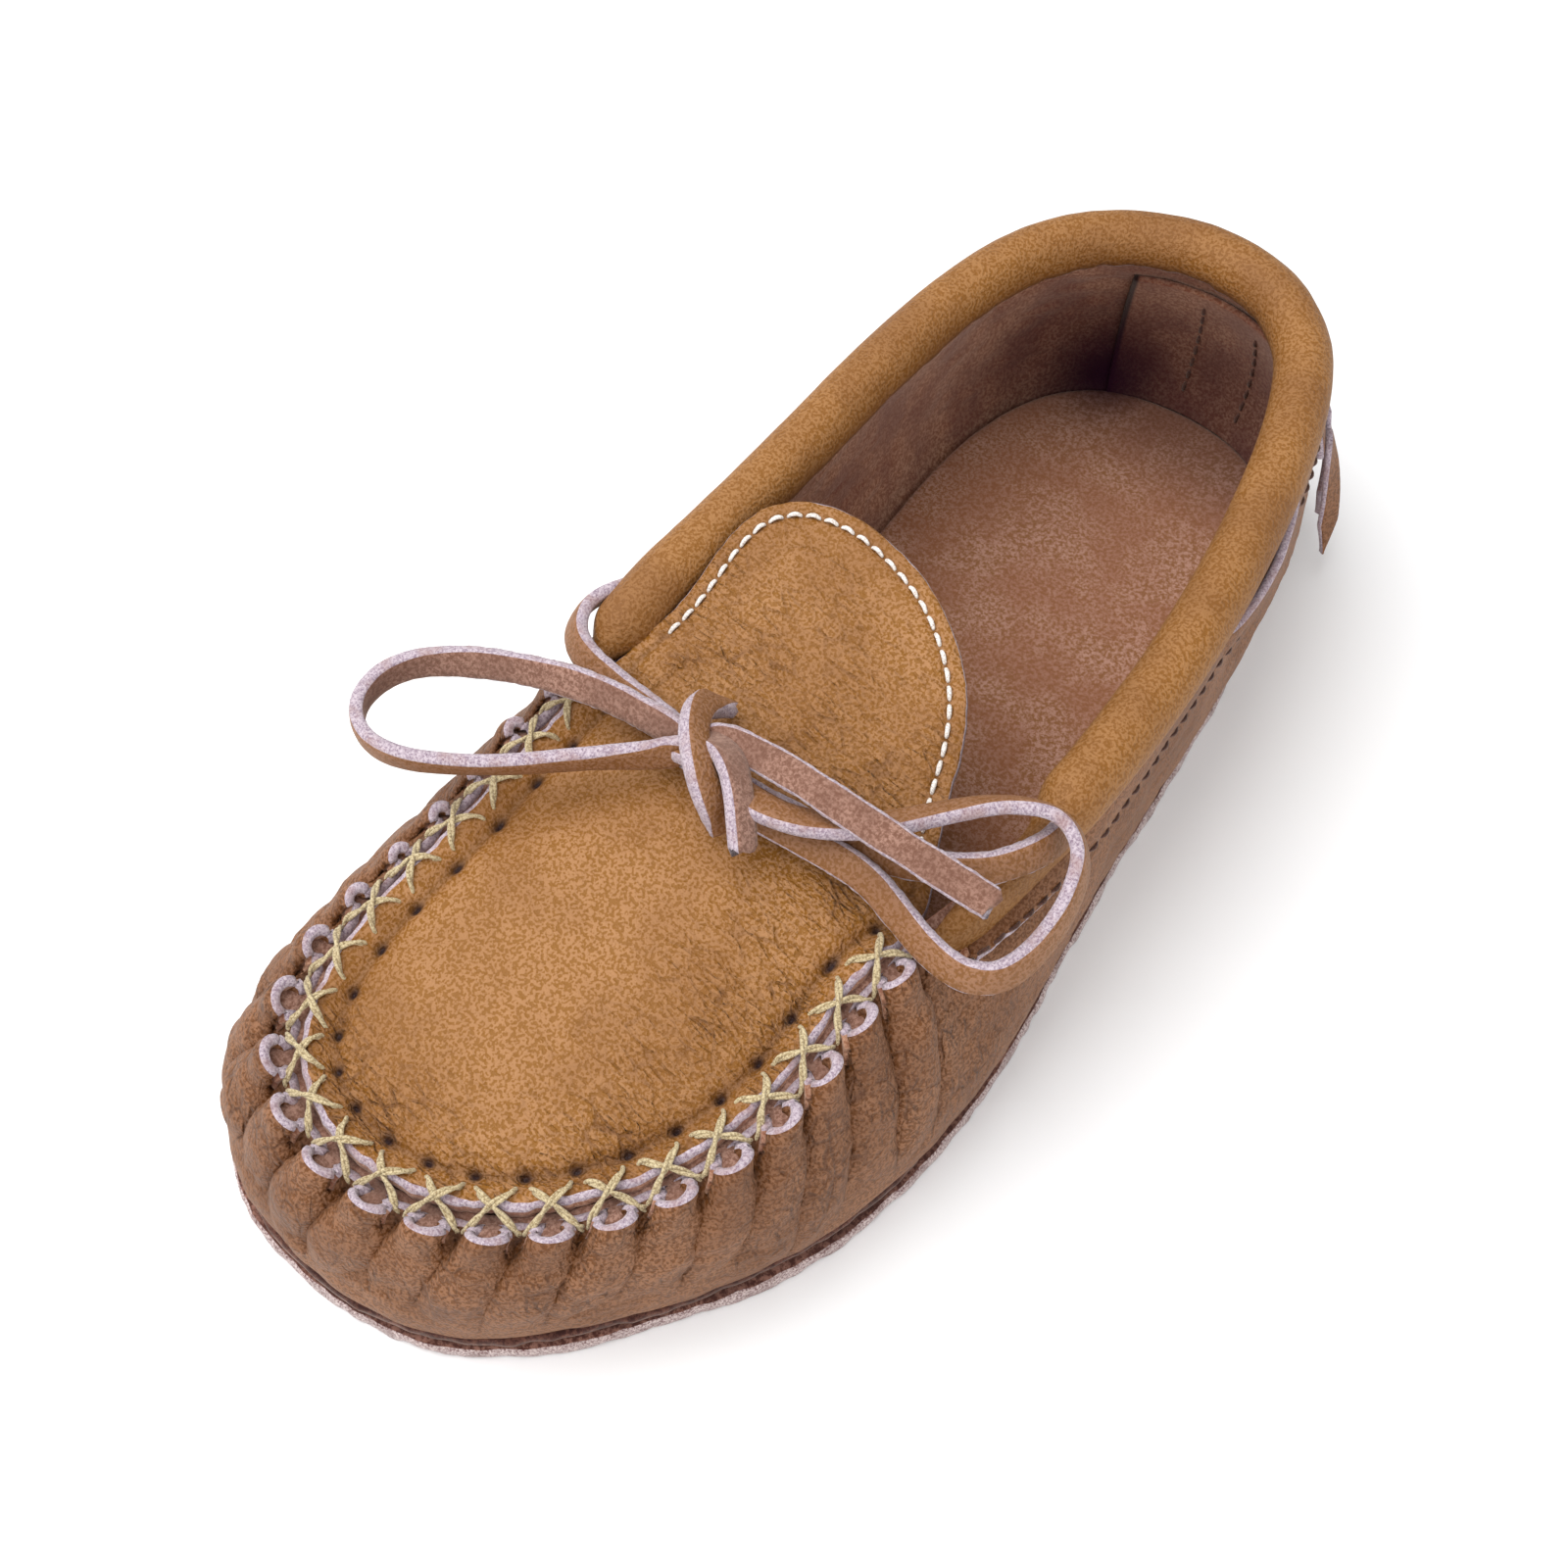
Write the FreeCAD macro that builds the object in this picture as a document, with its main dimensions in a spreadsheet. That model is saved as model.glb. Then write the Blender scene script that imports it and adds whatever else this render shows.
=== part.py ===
import FreeCAD, Part
import math
import os

V = FreeCAD.Vector

# A left moccasin. Millimetres, +Z up, toe towards -Y, outer (lateral) side of the foot at +X.
# The origin is under the middle of the object, on the surface that it stands on.

DIMENSIONS = {
    "outsole_thickness": 3.4,
    "midsole_thickness": 2.0,
    "midsole_inset": 1.4,
    "padding_thickness": 4.0,
    "padding_inset": 6.8,
    "insole_thickness": 2.0,
    "insole_inset": 5.6,
    "upper_thickness": 2.2,
    "wall_inset": 3.6,
    "toe_bulge": 3.2,
    "heel_bulge": 5.6,
    "plug_thickness": 2.2,
    "plug_crown": 6.5,
    "tongue_thickness": 1.7,
    "lining_thickness": 0.9,
    "lining_inset": 2.0,
    "collar_radius": 5.8,
    "tunnel_radius": 3.3,
    "window_length": 34.0,
    "window_height": 4.2,
    "stay_thickness": 1.2,
    "tab_thickness": 1.6,
    "strip_width": 5.8,
    "strip_length": 31.0,
    "strip_thickness": 1.4,
    "lace_diameter": 4.4,
    "thread_diameter": 0.9,
    "stitch_diameter": 0.5,
    "stitch_length": 2.6,
    "stitch_pitch": 3.6,
}

doc = FreeCAD.newDocument("Moccasin")
sheet = doc.addObject("Spreadsheet::Sheet", "Dimensions")
for row, (alias, value) in enumerate(DIMENSIONS.items(), start=1):
    sheet.set(f"A{row}", alias)
    sheet.set(f"B{row}", str(value))
    sheet.setAlias(f"B{row}", alias)
doc.recompute()


def size(alias):
    """A driving dimension, read back from the sheet."""
    return float(sheet.get(alias))


# Plan of the sole, from the back of the heel along the lateral side to the toe and back along
# the medial side. The toe's point ends the first half.
SOLE_LATERAL = [(-13.5, 131.5), (6, 127.5), (20, 112), (29.5, 87), (37.5, 53), (46.5, 10),
                (55.5, -30), (54.5, -70), (40.5, -104), (18.5, -129.5)]
SOLE_MEDIAL = [(-9.5, -137.5), (-30.5, -134.5), (-48, -120.5), (-55.8, -98), (-56.3, -68),
               (-51, -23), (-46.5, 17), (-50, 60), (-52.5, 92), (-42, 120)]

# Top edge of the wall in the same order: under the collar round the mouth, then the raised
# seam round the plug.
TOP_LATERAL = [(-11, 124, 55), (7.5, 118, 54.5), (17, 105, 54), (29.5, 75, 53), (38.5, 33, 51),
               (43, -3, 49), (41.5, -25, 48.5), (39.5, -44, 46), (41.5, -66, 41.5),
               (36.5, -92, 36), (22.5, -112, 32)]
TOP_MEDIAL = [(-4, -124, 30), (-28, -118, 31), (-38.5, -97, 35), (-39.5, -70, 41),
              (-41, -44, 46), (-39.5, -25, 48.5), (-40, -8, 50), (-42.5, 15, 51),
              (-48, 49, 52), (-49.5, 80, 53), (-47, 100, 53.5), (-35.5, 116, 54)]

# Centre line of the rolled collar, from its medial front end round the heel to its lateral one.
COLLAR_LINE = [(-42.3, -17, 54.5), (-43.2, 3, 55.5), (-45.3, 27, 56.3), (-48.4, 54, 57.2),
               (-49.5, 78, 58), (-46.5, 99, 58.6), (-36.5, 114.5, 59.2), (-21.5, 122.5, 59.6),
               (-5, 123.3, 59.8), (9.5, 115.5, 59.4), (18.5, 101.5, 58.8), (27, 80, 58.1),
               (34.5, 54, 57.2), (40, 26, 56), (43, -10, 54.2)]

TONGUE_OUTLINE = [(-33.5, -26), (-35.8, -12), (-37.3, 0), (-36, 8), (-30.5, 14.5), (-20, 17.5),
                  (-6, 16.5), (6.5, 11.5), (16.5, 3.8), (23, -5.5), (27.5, -14.5), (30, -26)]

PLUG_INSIDE_RIDGE = 1.1
PLUG_BACK_Y = -28.5
TONGUE_STITCH_INSET = 3.0
TAB_GAP = 0.4
WALL_STATIONS = 26
WALL_ROWS = 7

# Places along the seam are shares of it: 0 at the heel's back, 1 at the toe, 2 at the heel again.
CROSS_PITCH = 0.0345
CROSSES_EACH_SIDE = 11
CROSS_REACH_IN = 5.2
CROSS_REACH_OUT = 3.4
CROSS_LIFT = 0.8
CROSS_OVERLAP_LIFT = 0.95
TAB_SPAN = 0.112
TAB_FOOT = 0.66
TAB_TOP = 0.86
STRIP_ROOT = 0.68
STRIP_STEP = 0.0244
STRIP_SHOULDER = 0.72

# Routes of the free thong, with a point at each change of direction.
LEFT_STRAND = [(-42.3, -17, 54.5), (-46.8, -23, 54.5), (-46.5, -30, 54.6), (-41, -34.3, 54.6),
               (-30, -34.9, 54.6), (-14.5, -36, 57)]
LEFT_LOOP = [(-14, -37.2, 61.2), (-33, -40, 59.4), (-52, -48, 56.8), (-63.3, -58.2, 54.8),
             (-62.3, -70, 53.9), (-51, -73.4, 54), (-35.7, -63, 55.2), (-22, -49.5, 57.2),
             (-11, -41.5, 59)]
RIGHT_STRAND = [(43, -10, 54.2), (43, -17, 54.2), (37, -24.5, 54.2), (26, -30, 55.4),
                (13, -34, 56.2), (-1, -37.5, 57.2)]
RIGHT_LOOP = [(0, -39.5, 62), (14.3, -37.6, 62), (25, -29.5, 62.6), (33.5, -17, 63.2),
              (44, -7.5, 63), (53.3, -11, 60.5), (56.6, -24.5, 56.4), (51.5, -35.5, 54.6),
              (42, -37.8, 54.6), (33, -38.2, 55), (18, -40, 56.2), (0, -41.5, 58)]
LONG_TAIL = [(-5, -34.4, 63.4), (7, -32.8, 67), (21, -31.6, 67.7), (35, -30, 67.2),
             (46.8, -27.6, 65.6)]
KNOT_CENTRE = (-7, -38, 59.6)
KNOT_HALF_SIZE = (9.5, 5.5, 4.6)
KNOT_TURN = -28
SHORT_TAIL = [(-5, -39.4, 63.4), (-1.5, -40.4, 66.6), (4.5, -43.4, 65.4), (10, -46.4, 61.8)]


def closed_curve(points):
    """Smooth closed B-spline through a ring of points."""
    curve = Part.BSplineCurve()
    curve.interpolate([V(*point) for point in points], PeriodicFlag=True)
    return curve


def ring_point(curve, toe_point, fraction):
    """Point of a ring: fraction 0 at the heel, 1 at the toe, 2 at the heel again."""
    first, last = curve.FirstParameter, curve.LastParameter
    toe = curve.parameter(V(*toe_point))
    if fraction <= 1:
        return curve.value(first + fraction * (toe - first))
    return curve.value(toe + (fraction - 1) * (last - toe))


def inset_outline(points, distance):
    """The same outline moved inwards by a distance along its normals."""
    moved = []
    for i, (x, y) in enumerate(points):
        before = points[i - 1]
        after = points[(i + 1) % len(points)]
        along = V(after[0] - before[0], after[1] - before[1], 0).normalize()
        moved.append((x + along.y * distance, y - along.x * distance))
    return moved


def thick_sheet(outer, inner):
    """Solid between two grids of points that have the same rows and columns."""
    skins = [Part.BSplineSurface(), Part.BSplineSurface()]
    skins[0].interpolate(outer)
    skins[1].interpolate(inner)
    faces = [skin.toShape() for skin in skins]
    u0, u1, v0, v1 = skins[0].bounds()
    p0, p1, q0, q1 = skins[1].bounds()
    rims = [(skins[0].uIso(u0), skins[1].uIso(p0)), (skins[0].uIso(u1), skins[1].uIso(p1)),
            (skins[0].vIso(v0), skins[1].vIso(q0)), (skins[0].vIso(v1), skins[1].vIso(q1))]
    for near, far in rims:
        faces.append(Part.makeRuledSurface(near.toShape(), far.toShape()))
    shell = Part.makeShell(faces)
    shell.sewShape(0.001)
    solid = Part.makeSolid(shell)
    if solid.Volume < 0:
        solid.reverse()
    return solid


def rounded_path(points, share=0.45):
    """Straight runs joined by tangent arcs, and the radius of each arc."""
    corners = [V(*point) for point in points]
    edges, radii = [], []
    start = corners[0]
    for before, corner, after in zip(corners, corners[1:], corners[2:]):
        back = before - corner
        ahead = after - corner
        reach = share * min(back.Length, ahead.Length)
        turn = math.pi - back.getAngle(ahead)
        radius = reach / math.tan(turn / 2)
        enter = corner + back.normalize() * reach
        leave = corner + ahead.normalize() * reach
        middle_way = (back + ahead).normalize()
        centre = corner + middle_way * (radius / math.cos(turn / 2))
        crown = centre - middle_way * radius
        edges.append(Part.LineSegment(start, enter).toShape())
        edges.append(Part.Arc(enter, crown, leave).toShape())
        radii.append(radius)
        start = leave
    edges.append(Part.LineSegment(start, corners[-1]).toShape())
    return Part.Wire(edges), radii


def tube(path, radius):
    """Round bar along a path."""
    start = path.Edges[0].valueAt(path.Edges[0].FirstParameter)
    along = path.Edges[0].tangentAt(path.Edges[0].FirstParameter)
    ring = Part.Wire(Part.Circle(start, along, radius).toShape())
    return path.makePipeShell([ring], True, False)


def lace_tube(name, points):
    """Round bar of the thong's width along its route, with its radii and volume reported."""
    path, radii = rounded_path(points)
    radius = size("lace_diameter") / 2
    solid = tube(path, radius)
    expected = math.pi * radius ** 2 * path.Length
    print(name, "length", round(path.Length, 1), "radii", [round(r, 1) for r in radii],
          "volume ratio", round(solid.Volume / expected, 4))
    return solid


def rod(start, end, diameter):
    """Short round stitch between two points."""
    along = end - start
    return Part.makeCylinder(diameter / 2, along.Length, start, along)


def add_feature(label, shape):
    feature = doc.addObject("Part::Feature", label)
    feature.Label = label
    feature.Shape = shape
    feature.Placement = FreeCAD.Placement()
    return feature


def add_layer(label, outline, thickness_alias, height_expression):
    """Flat layer of the sole: a sketched outline padded upwards from its own height."""
    body = doc.addObject("PartDesign::Body", label)
    body.Label = label
    plane = next(item for item in body.Origin.OriginFeatures if item.Role == "XY_Plane")
    sketch = body.newObject("Sketcher::SketchObject", label + "_outline")
    sketch.AttachmentSupport = [(plane, "")]
    sketch.MapMode = "FlatFace"
    sketch.addGeometry(closed_curve([(x, y, 0) for x, y in outline]))
    pad = body.newObject("PartDesign::Pad", label + "_pad")
    pad.Profile = sketch
    pad.setExpression("Length", f"Dimensions.{thickness_alias}")
    body.setExpression("Placement.Base.z", height_expression)
    return body


# --- heights of the layers of the sole

MIDSOLE_Z = "Dimensions.outsole_thickness"
PADDING_Z = MIDSOLE_Z + " + Dimensions.midsole_thickness"
INSOLE_Z = PADDING_Z + " + Dimensions.padding_thickness"
WALL_Z = size("outsole_thickness") + size("midsole_thickness")

SOLE_OUTLINE = SOLE_LATERAL + SOLE_MEDIAL
TOP_EDGE = TOP_LATERAL + TOP_MEDIAL


def build_sole():
    return [
        add_layer("outsole", SOLE_OUTLINE, "outsole_thickness", "0"),
        add_layer("midsole_rand", inset_outline(SOLE_OUTLINE, size("midsole_inset")),
                  "midsole_thickness", MIDSOLE_Z),
        add_layer("sole_padding", inset_outline(SOLE_OUTLINE, size("padding_inset")),
                  "padding_thickness", PADDING_Z),
        add_layer("insole", inset_outline(SOLE_OUTLINE, size("insole_inset")),
                  "insole_thickness", INSOLE_Z),
    ]


# --- the wrap-around wall

foot_ring = closed_curve([(x, y, WALL_Z) for x, y in inset_outline(SOLE_OUTLINE,
                                                                    size("wall_inset"))])
foot_toe = (*inset_outline(SOLE_OUTLINE, size("wall_inset"))[len(SOLE_LATERAL)], WALL_Z)
top_ring = closed_curve(TOP_EDGE)
top_toe = TOP_MEDIAL[0]


def wall_point(fraction, height, outwards=0.0):
    """Point of the wall's outer face: height 0 at the sole and 1 at the top edge."""
    fraction = fraction % 2
    low = ring_point(foot_ring, foot_toe, fraction)
    high = ring_point(top_ring, top_toe, fraction)
    step = 0.004
    after = ring_point(foot_ring, foot_toe, (fraction + step) % 2)
    along = (after - low).normalize()
    out = V(-along.y, along.x, 0)
    lean = height ** 1.6
    fullness = size("toe_bulge") + (size("heel_bulge") - size("toe_bulge")) * abs(1 - fraction)
    bulge = 4 * height * (1 - height) * fullness
    return V(low.x + (high.x - low.x) * lean, low.y + (high.y - low.y) * lean,
             low.z + (high.z - low.z) * height) + out * (bulge + outwards)


def wall_grid(fractions, heights, outwards):
    """Grid of points of the wall, moved along the wall's own normal."""
    grid = []
    for fraction in fractions:
        row = []
        for height in heights:
            here = wall_point(fraction, height)
            along = wall_point(fraction + 0.004, height) - wall_point(fraction - 0.004, height)
            low, high = max(height - 0.02, 0), min(height + 0.02, 1)
            up = wall_point(fraction, high) - wall_point(fraction, low)
            normal = up.cross(along).normalize()
            if normal.dot(wall_point(fraction, height, 1.0) - here) < 0:
                normal = -normal
            row.append(here + normal * outwards)
        grid.append(row)
    return grid


def spread(first, last, count):
    return [first + (last - first) * i / (count - 1) for i in range(count)]


def build_wall():
    """The wall runs from the back seam round the toe and back to the back seam."""
    seam_gap = 0.002
    fractions = spread(seam_gap, 2 - seam_gap, 2 * WALL_STATIONS + 1)
    heights = spread(0, 1, WALL_ROWS)
    outer = wall_grid(fractions, heights, 0)
    inner = wall_grid(fractions, heights, -size("upper_thickness"))
    return add_feature("wrap_upper", thick_sheet(outer, inner))


# --- plug and tongue: sheets whose height is a function of the plan, cut to their outlines

def plug_height(x, y):
    """Height of the plug's upper face: it meets the raised seam and crowns inside it."""
    seam = 30 + 0.193 * (y + 124)
    middle = 0.5 - 6 * min(max((-60 - y) / 60, 0), 1)
    across = abs(x - middle) / 40
    along = max((-75 - y) / 49, 0)
    return seam + size("plug_crown") * (1 - math.hypot(across, along) ** 2.4)


def tongue_height(x, y):
    """Height of the tongue's upper face: it rises to the rear and its medial side is higher."""
    arch = 2.5 * ((x + 6) / 30) ** 2 * min(max((5 - y) / 33, 0), 1)
    return 53.2 + 0.22 * (y + 28) - 0.07 * (x + 6) - arch


def height_sheet(height, xs, ys, drop, thickness):
    """Sheet of even height below a height function."""
    upper = [[V(x, y, height(x, y) - drop) for x in xs] for y in ys]
    lower = [[point - V(0, 0, thickness) for point in row] for row in upper]
    return thick_sheet(upper, lower)


def prism(edges, tall):
    """Upright block on an outline, used to cut a sheet to its plan."""
    return Part.Face(Part.Wire(edges)).extrude(V(0, 0, tall))


def plug_outline_edges():
    """Seam edge of the plug, a little inside the ridge, closed by a straight back edge."""
    ridge = [(x, y) for x, y, z in TOP_EDGE[6:17]]
    inner = inset_outline(ridge, PLUG_INSIDE_RIDGE + size("upper_thickness"))[1:-1]
    ends = [(inner[0][0] + 1.5, PLUG_BACK_Y), (inner[-1][0] - 0.5, PLUG_BACK_Y)]
    seam = Part.BSplineCurve()
    seam.interpolate([V(x, y, 0) for x, y in [ends[0]] + inner + [ends[1]]])
    back = Part.LineSegment(V(*ends[1], 0), V(*ends[0], 0))
    return [seam.toShape(), back.toShape()]


def build_plug():
    sheet_body = height_sheet(plug_height, spread(-50, 50, 13), spread(-132, -20, 15), 0,
                              size("plug_thickness"))
    return add_feature("plug", sheet_body.common(prism(plug_outline_edges(), 80)))


def tongue_outline_edges(inset):
    outline = inset_outline(TONGUE_OUTLINE, inset)
    curve = Part.BSplineCurve()
    curve.interpolate([V(x, y, 0) for x, y in outline])
    back = Part.LineSegment(V(*outline[-1], 0), V(*outline[0], 0))
    return [curve.toShape(), back.toShape()]


def build_tongue():
    xs, ys = spread(-45, 40, 11), spread(-32, 24, 9)
    top = height_sheet(tongue_height, xs, ys, 0, size("tongue_thickness"))
    under = height_sheet(tongue_height, xs, ys, size("tongue_thickness"),
                         size("lining_thickness"))
    add_feature("tongue", top.common(prism(tongue_outline_edges(0), 80)))
    add_feature("tongue_lining", under.common(prism(tongue_outline_edges(size("lining_inset")),
                                                    80)))


# --- collar, its thong and the thong's windows

def collar_window(first, last):
    """Block that opens the outer lower side of the collar between two of its points."""
    start, end = V(*first), V(*last)
    along = (end - start).normalize()
    out = along.cross(V(0, 0, 1)).normalize()
    middle = (start + end) * 0.5
    if out.dot(V(middle.x + 12, 0, 0)) < 0:
        out = -out
    out = (out - V(0, 0, 0.45)).normalize()
    up = along.cross(out).normalize()
    depth = size("collar_radius") + 4 - size("lace_diameter") / 2
    block = Part.makeBox(size("window_length"), depth, size("window_height"))
    corner = middle - along * (size("window_length") / 2) - up * (size("window_height") / 2)
    corner = corner + out * (size("lace_diameter") / 2)
    frame = FreeCAD.Matrix(along.x, out.x, up.x, corner.x, along.y, out.y, up.y, corner.y,
                           along.z, out.z, up.z, corner.z, 0, 0, 0, 1)
    block.Placement = FreeCAD.Placement(frame)
    return block


def build_collar():
    path = rounded_path(COLLAR_LINE)[0]
    roll = tube(path, size("collar_radius")).cut(tube(path, size("tunnel_radius")))
    for first, last in ((COLLAR_LINE[12], COLLAR_LINE[11]), (COLLAR_LINE[3], COLLAR_LINE[4])):
        roll = roll.cut(collar_window(first, last))
    add_feature("collar", roll)
    add_feature("lace_heel_run", lace_tube("lace_heel_run", COLLAR_LINE))


# --- heel: stay inside, tab and fringe outside

def wall_patch(first, last, low, high, near, far):
    """Sheet that follows the wall between two distances from its outer face."""
    fractions = spread(first, last, 9)
    heights = spread(low, high, 5)
    return thick_sheet(wall_grid(fractions, heights, far), wall_grid(fractions, heights, near))


def build_heel():
    inside = -size("upper_thickness") - 0.4
    add_feature("heel_stay", wall_patch(-0.068, 0.056, 0.18, 0.86, inside - size("stay_thickness"),
                                        inside))
    add_feature("heel_tab", wall_patch(-TAB_SPAN, TAB_SPAN, TAB_FOOT, TAB_TOP, TAB_GAP,
                                       TAB_GAP + size("tab_thickness")))


def fringe_strip(index):
    """Pointed strip that hangs from the tab; index counts from the back seam, lateral side +."""
    fraction = index * STRIP_STEP
    clear = 2 * TAB_GAP + size("tab_thickness")
    root = wall_grid([fraction], [STRIP_ROOT], clear)[0][0]
    ahead = wall_grid([fraction + 0.01], [STRIP_ROOT], clear)[0][0]
    along = (ahead - root).normalize()
    out = V(-along.y, along.x, 0).normalize()
    if out.dot(root - V(-12, 90, 0)) < 0:
        out = -out
    sway = along * (0.9 * index)
    tip = root + out * (3.2 + 0.6 * abs(index)) + sway - V(0, 0, size("strip_length"))
    half = along * (size("strip_width") / 2)
    shoulder = root + (tip - root) * STRIP_SHOULDER
    outline = [root - half, shoulder - half * 0.9, tip, shoulder + half * 0.9, root + half,
               root - half]
    return Part.Face(Part.makePolygon(outline)).extrude(out * size("strip_thickness"))


def build_fringe():
    for label, indices in (("heel_fringe_medial", (-4, -3, -2)), ("heel_fringe_back", (-1, 0, 1)),
                           ("heel_fringe_lateral", (2, 3, 4))):
        add_feature(label, Part.makeCompound([fringe_strip(index) for index in indices]))


# --- the free thong and its bow

def build_lace():
    for label, route in (("lace_left_strand", LEFT_STRAND), ("lace_left_loop", LEFT_LOOP),
                         ("lace_right_strand", RIGHT_STRAND), ("lace_right_loop", RIGHT_LOOP),
                         ("lace_long_tail", LONG_TAIL), ("lace_short_tail", SHORT_TAIL)):
        add_feature(label, lace_tube(label, route))
    stretch = FreeCAD.Matrix()
    stretch.scale(*KNOT_HALF_SIZE)
    stretch.rotateZ(math.radians(KNOT_TURN))
    stretch.move(V(*KNOT_CENTRE))
    add_feature("lace_knot", Part.makeSphere(1.0).transformGeometry(stretch))


# --- stitches

def build_cross_stitches():
    """Thread crosses over the raised seam, from the plug to the wall."""
    crosses = []
    for i in range(-CROSSES_EACH_SIDE, CROSSES_EACH_SIDE):
        fraction = 1 + (i + 0.5) * CROSS_PITCH
        along = (ring_point(top_ring, top_toe, fraction + 0.01)
                 - ring_point(top_ring, top_toe, fraction - 0.01))
        out = V(-along.y, along.x, 0).normalize()
        for side, lift in ((-1, CROSS_LIFT), (1, CROSS_LIFT + CROSS_OVERLAP_LIFT)):
            near = ring_point(top_ring, top_toe, fraction - side * CROSS_PITCH * 0.36)
            far = ring_point(top_ring, top_toe, fraction + side * CROSS_PITCH * 0.36)
            inner = near - out * CROSS_REACH_IN
            inner.z = max(plug_height(inner.x, inner.y), near.z)
            rise = V(0, 0, lift)
            crosses.append(rod(inner + rise, far + out * CROSS_REACH_OUT + rise,
                               size("thread_diameter")))
    add_feature("plug_cross_stitches", Part.makeCompound(crosses))


def stitches_along(points, length, pitch, diameter, lift):
    """Row of short rods along a smooth line, each lifted from it."""
    line = Part.BSplineCurve()
    line.interpolate(points)
    total = line.length()
    rods = []
    for i in range(int(total / pitch)):
        start = line.value(line.parameterAtDistance(i * pitch + 0.5))
        end = line.value(line.parameterAtDistance(i * pitch + 0.5 + length))
        rods.append(rod(start + lift, end + lift, diameter))
    return rods


def build_stitches():
    build_cross_stitches()
    row = inset_outline(TONGUE_OUTLINE, TONGUE_STITCH_INSET)[1:-1]
    line = [V(x, y, tongue_height(x, y)) for x, y in row]
    add_feature("tongue_stitching", Part.makeCompound(stitches_along(
        line, size("stitch_length"), size("stitch_pitch"), size("stitch_diameter"),
        V(0, 0, size("stitch_diameter") / 2 - 0.05))))
    rows = []
    for first, last in ((0.125, 0.62), (1.36, 1.875)):
        line = wall_grid(spread(first, last, 12), [0.86], size("stitch_diameter") / 2)
        rows += stitches_along([row[0] for row in line], size("stitch_length"),
                               size("stitch_pitch"), size("stitch_diameter"), V(0, 0, 0))
    add_feature("collar_stitching", Part.makeCompound(rows))
    rows = []
    depth = -size("upper_thickness") - size("stay_thickness") - 0.65
    for fraction in (-0.06, -0.006, 0.048):
        line = wall_grid([fraction], spread(0.2, 0.84, 6), depth)[0]
        rows += stitches_along(line, size("stitch_length"), size("stitch_pitch"),
                               size("stitch_diameter"), V(0, 0, 0))
    add_feature("heel_stitching", Part.makeCompound(rows))


def check_and_write():
    """Every object recomputed, every sub-part solid and valid, then one STEP file for each."""
    doc.recompute()
    failed = [item.Name for item in doc.Objects
              if "Invalid" in item.State or "Error" in item.State]
    if failed:
        raise RuntimeError(f"not recomputed: {failed}")
    parts = [item for item in doc.Objects
             if item.TypeId in ("PartDesign::Body", "Part::Feature")]
    for part in parts:
        if part.Shape.isNull() or not part.Shape.isValid() or part.Shape.Volume <= 0:
            raise RuntimeError(f"{part.Label} has no valid solid")
    os.makedirs("parts", exist_ok=True)
    for part in parts:
        part.Shape.exportStep(f"parts/{part.Label}.step")
        print(part.Label, "solids", len(part.Shape.Solids), "volume", round(part.Shape.Volume, 1))


build_sole()
build_wall()
build_plug()
build_tongue()
build_collar()
build_heel()
build_fringe()
build_lace()
build_stitches()
check_and_write()
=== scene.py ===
import bmesh
import bpy
import math
import numpy as np
from mathutils import Matrix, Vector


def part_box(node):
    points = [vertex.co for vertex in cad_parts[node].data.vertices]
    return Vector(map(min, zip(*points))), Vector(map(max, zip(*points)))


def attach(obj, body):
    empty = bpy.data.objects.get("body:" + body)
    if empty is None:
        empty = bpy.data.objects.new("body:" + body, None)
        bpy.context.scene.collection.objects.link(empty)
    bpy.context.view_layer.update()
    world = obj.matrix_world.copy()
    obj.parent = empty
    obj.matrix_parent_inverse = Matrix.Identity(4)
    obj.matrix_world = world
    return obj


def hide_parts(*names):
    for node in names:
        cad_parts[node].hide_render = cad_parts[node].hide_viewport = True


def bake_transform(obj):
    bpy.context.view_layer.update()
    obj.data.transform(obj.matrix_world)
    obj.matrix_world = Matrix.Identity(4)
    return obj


# A left moccasin. Shapes and the thong's routes are given in millimetres, +Z up, toe towards -Y,
# lateral side at +X, and written to meshes in metres. A thong's smooth line, its width and its
# thickness are in metres, as the frame is.

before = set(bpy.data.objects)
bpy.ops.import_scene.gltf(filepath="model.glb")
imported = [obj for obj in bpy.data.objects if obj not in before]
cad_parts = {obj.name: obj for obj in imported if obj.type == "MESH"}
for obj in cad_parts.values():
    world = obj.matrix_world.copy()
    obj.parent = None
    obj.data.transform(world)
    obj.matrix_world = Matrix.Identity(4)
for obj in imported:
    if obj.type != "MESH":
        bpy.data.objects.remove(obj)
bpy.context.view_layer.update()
MM = 0.001
UP = np.array([0.0, 0.0, 1.0])


def top_of(node):
    """Height of a CAD node's upper side, in millimetres."""
    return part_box(node)[1][2] / MM


# --- camera

CAMERA_PLACE = (0.13431, -0.17666, 0.35272)
CAMERA_AZIMUTH = math.radians(41.54)
CAMERA_ELEVATION = math.radians(56.62)
CAMERA_ROLL = math.radians(1.77)
CAMERA_LENS = 47.705
CAMERA_SENSOR = 36


def stand(name, data, place, right, up, back):
    """New object at a place, with its own axes turned to the three directions."""
    obj = bpy.data.objects.new(name, data)
    turn = Matrix([[right[i], up[i], back[i]] for i in range(3)]).to_4x4()
    obj.matrix_world = Matrix.Translation(place) @ turn
    bpy.context.scene.collection.objects.link(obj)
    return obj


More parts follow.
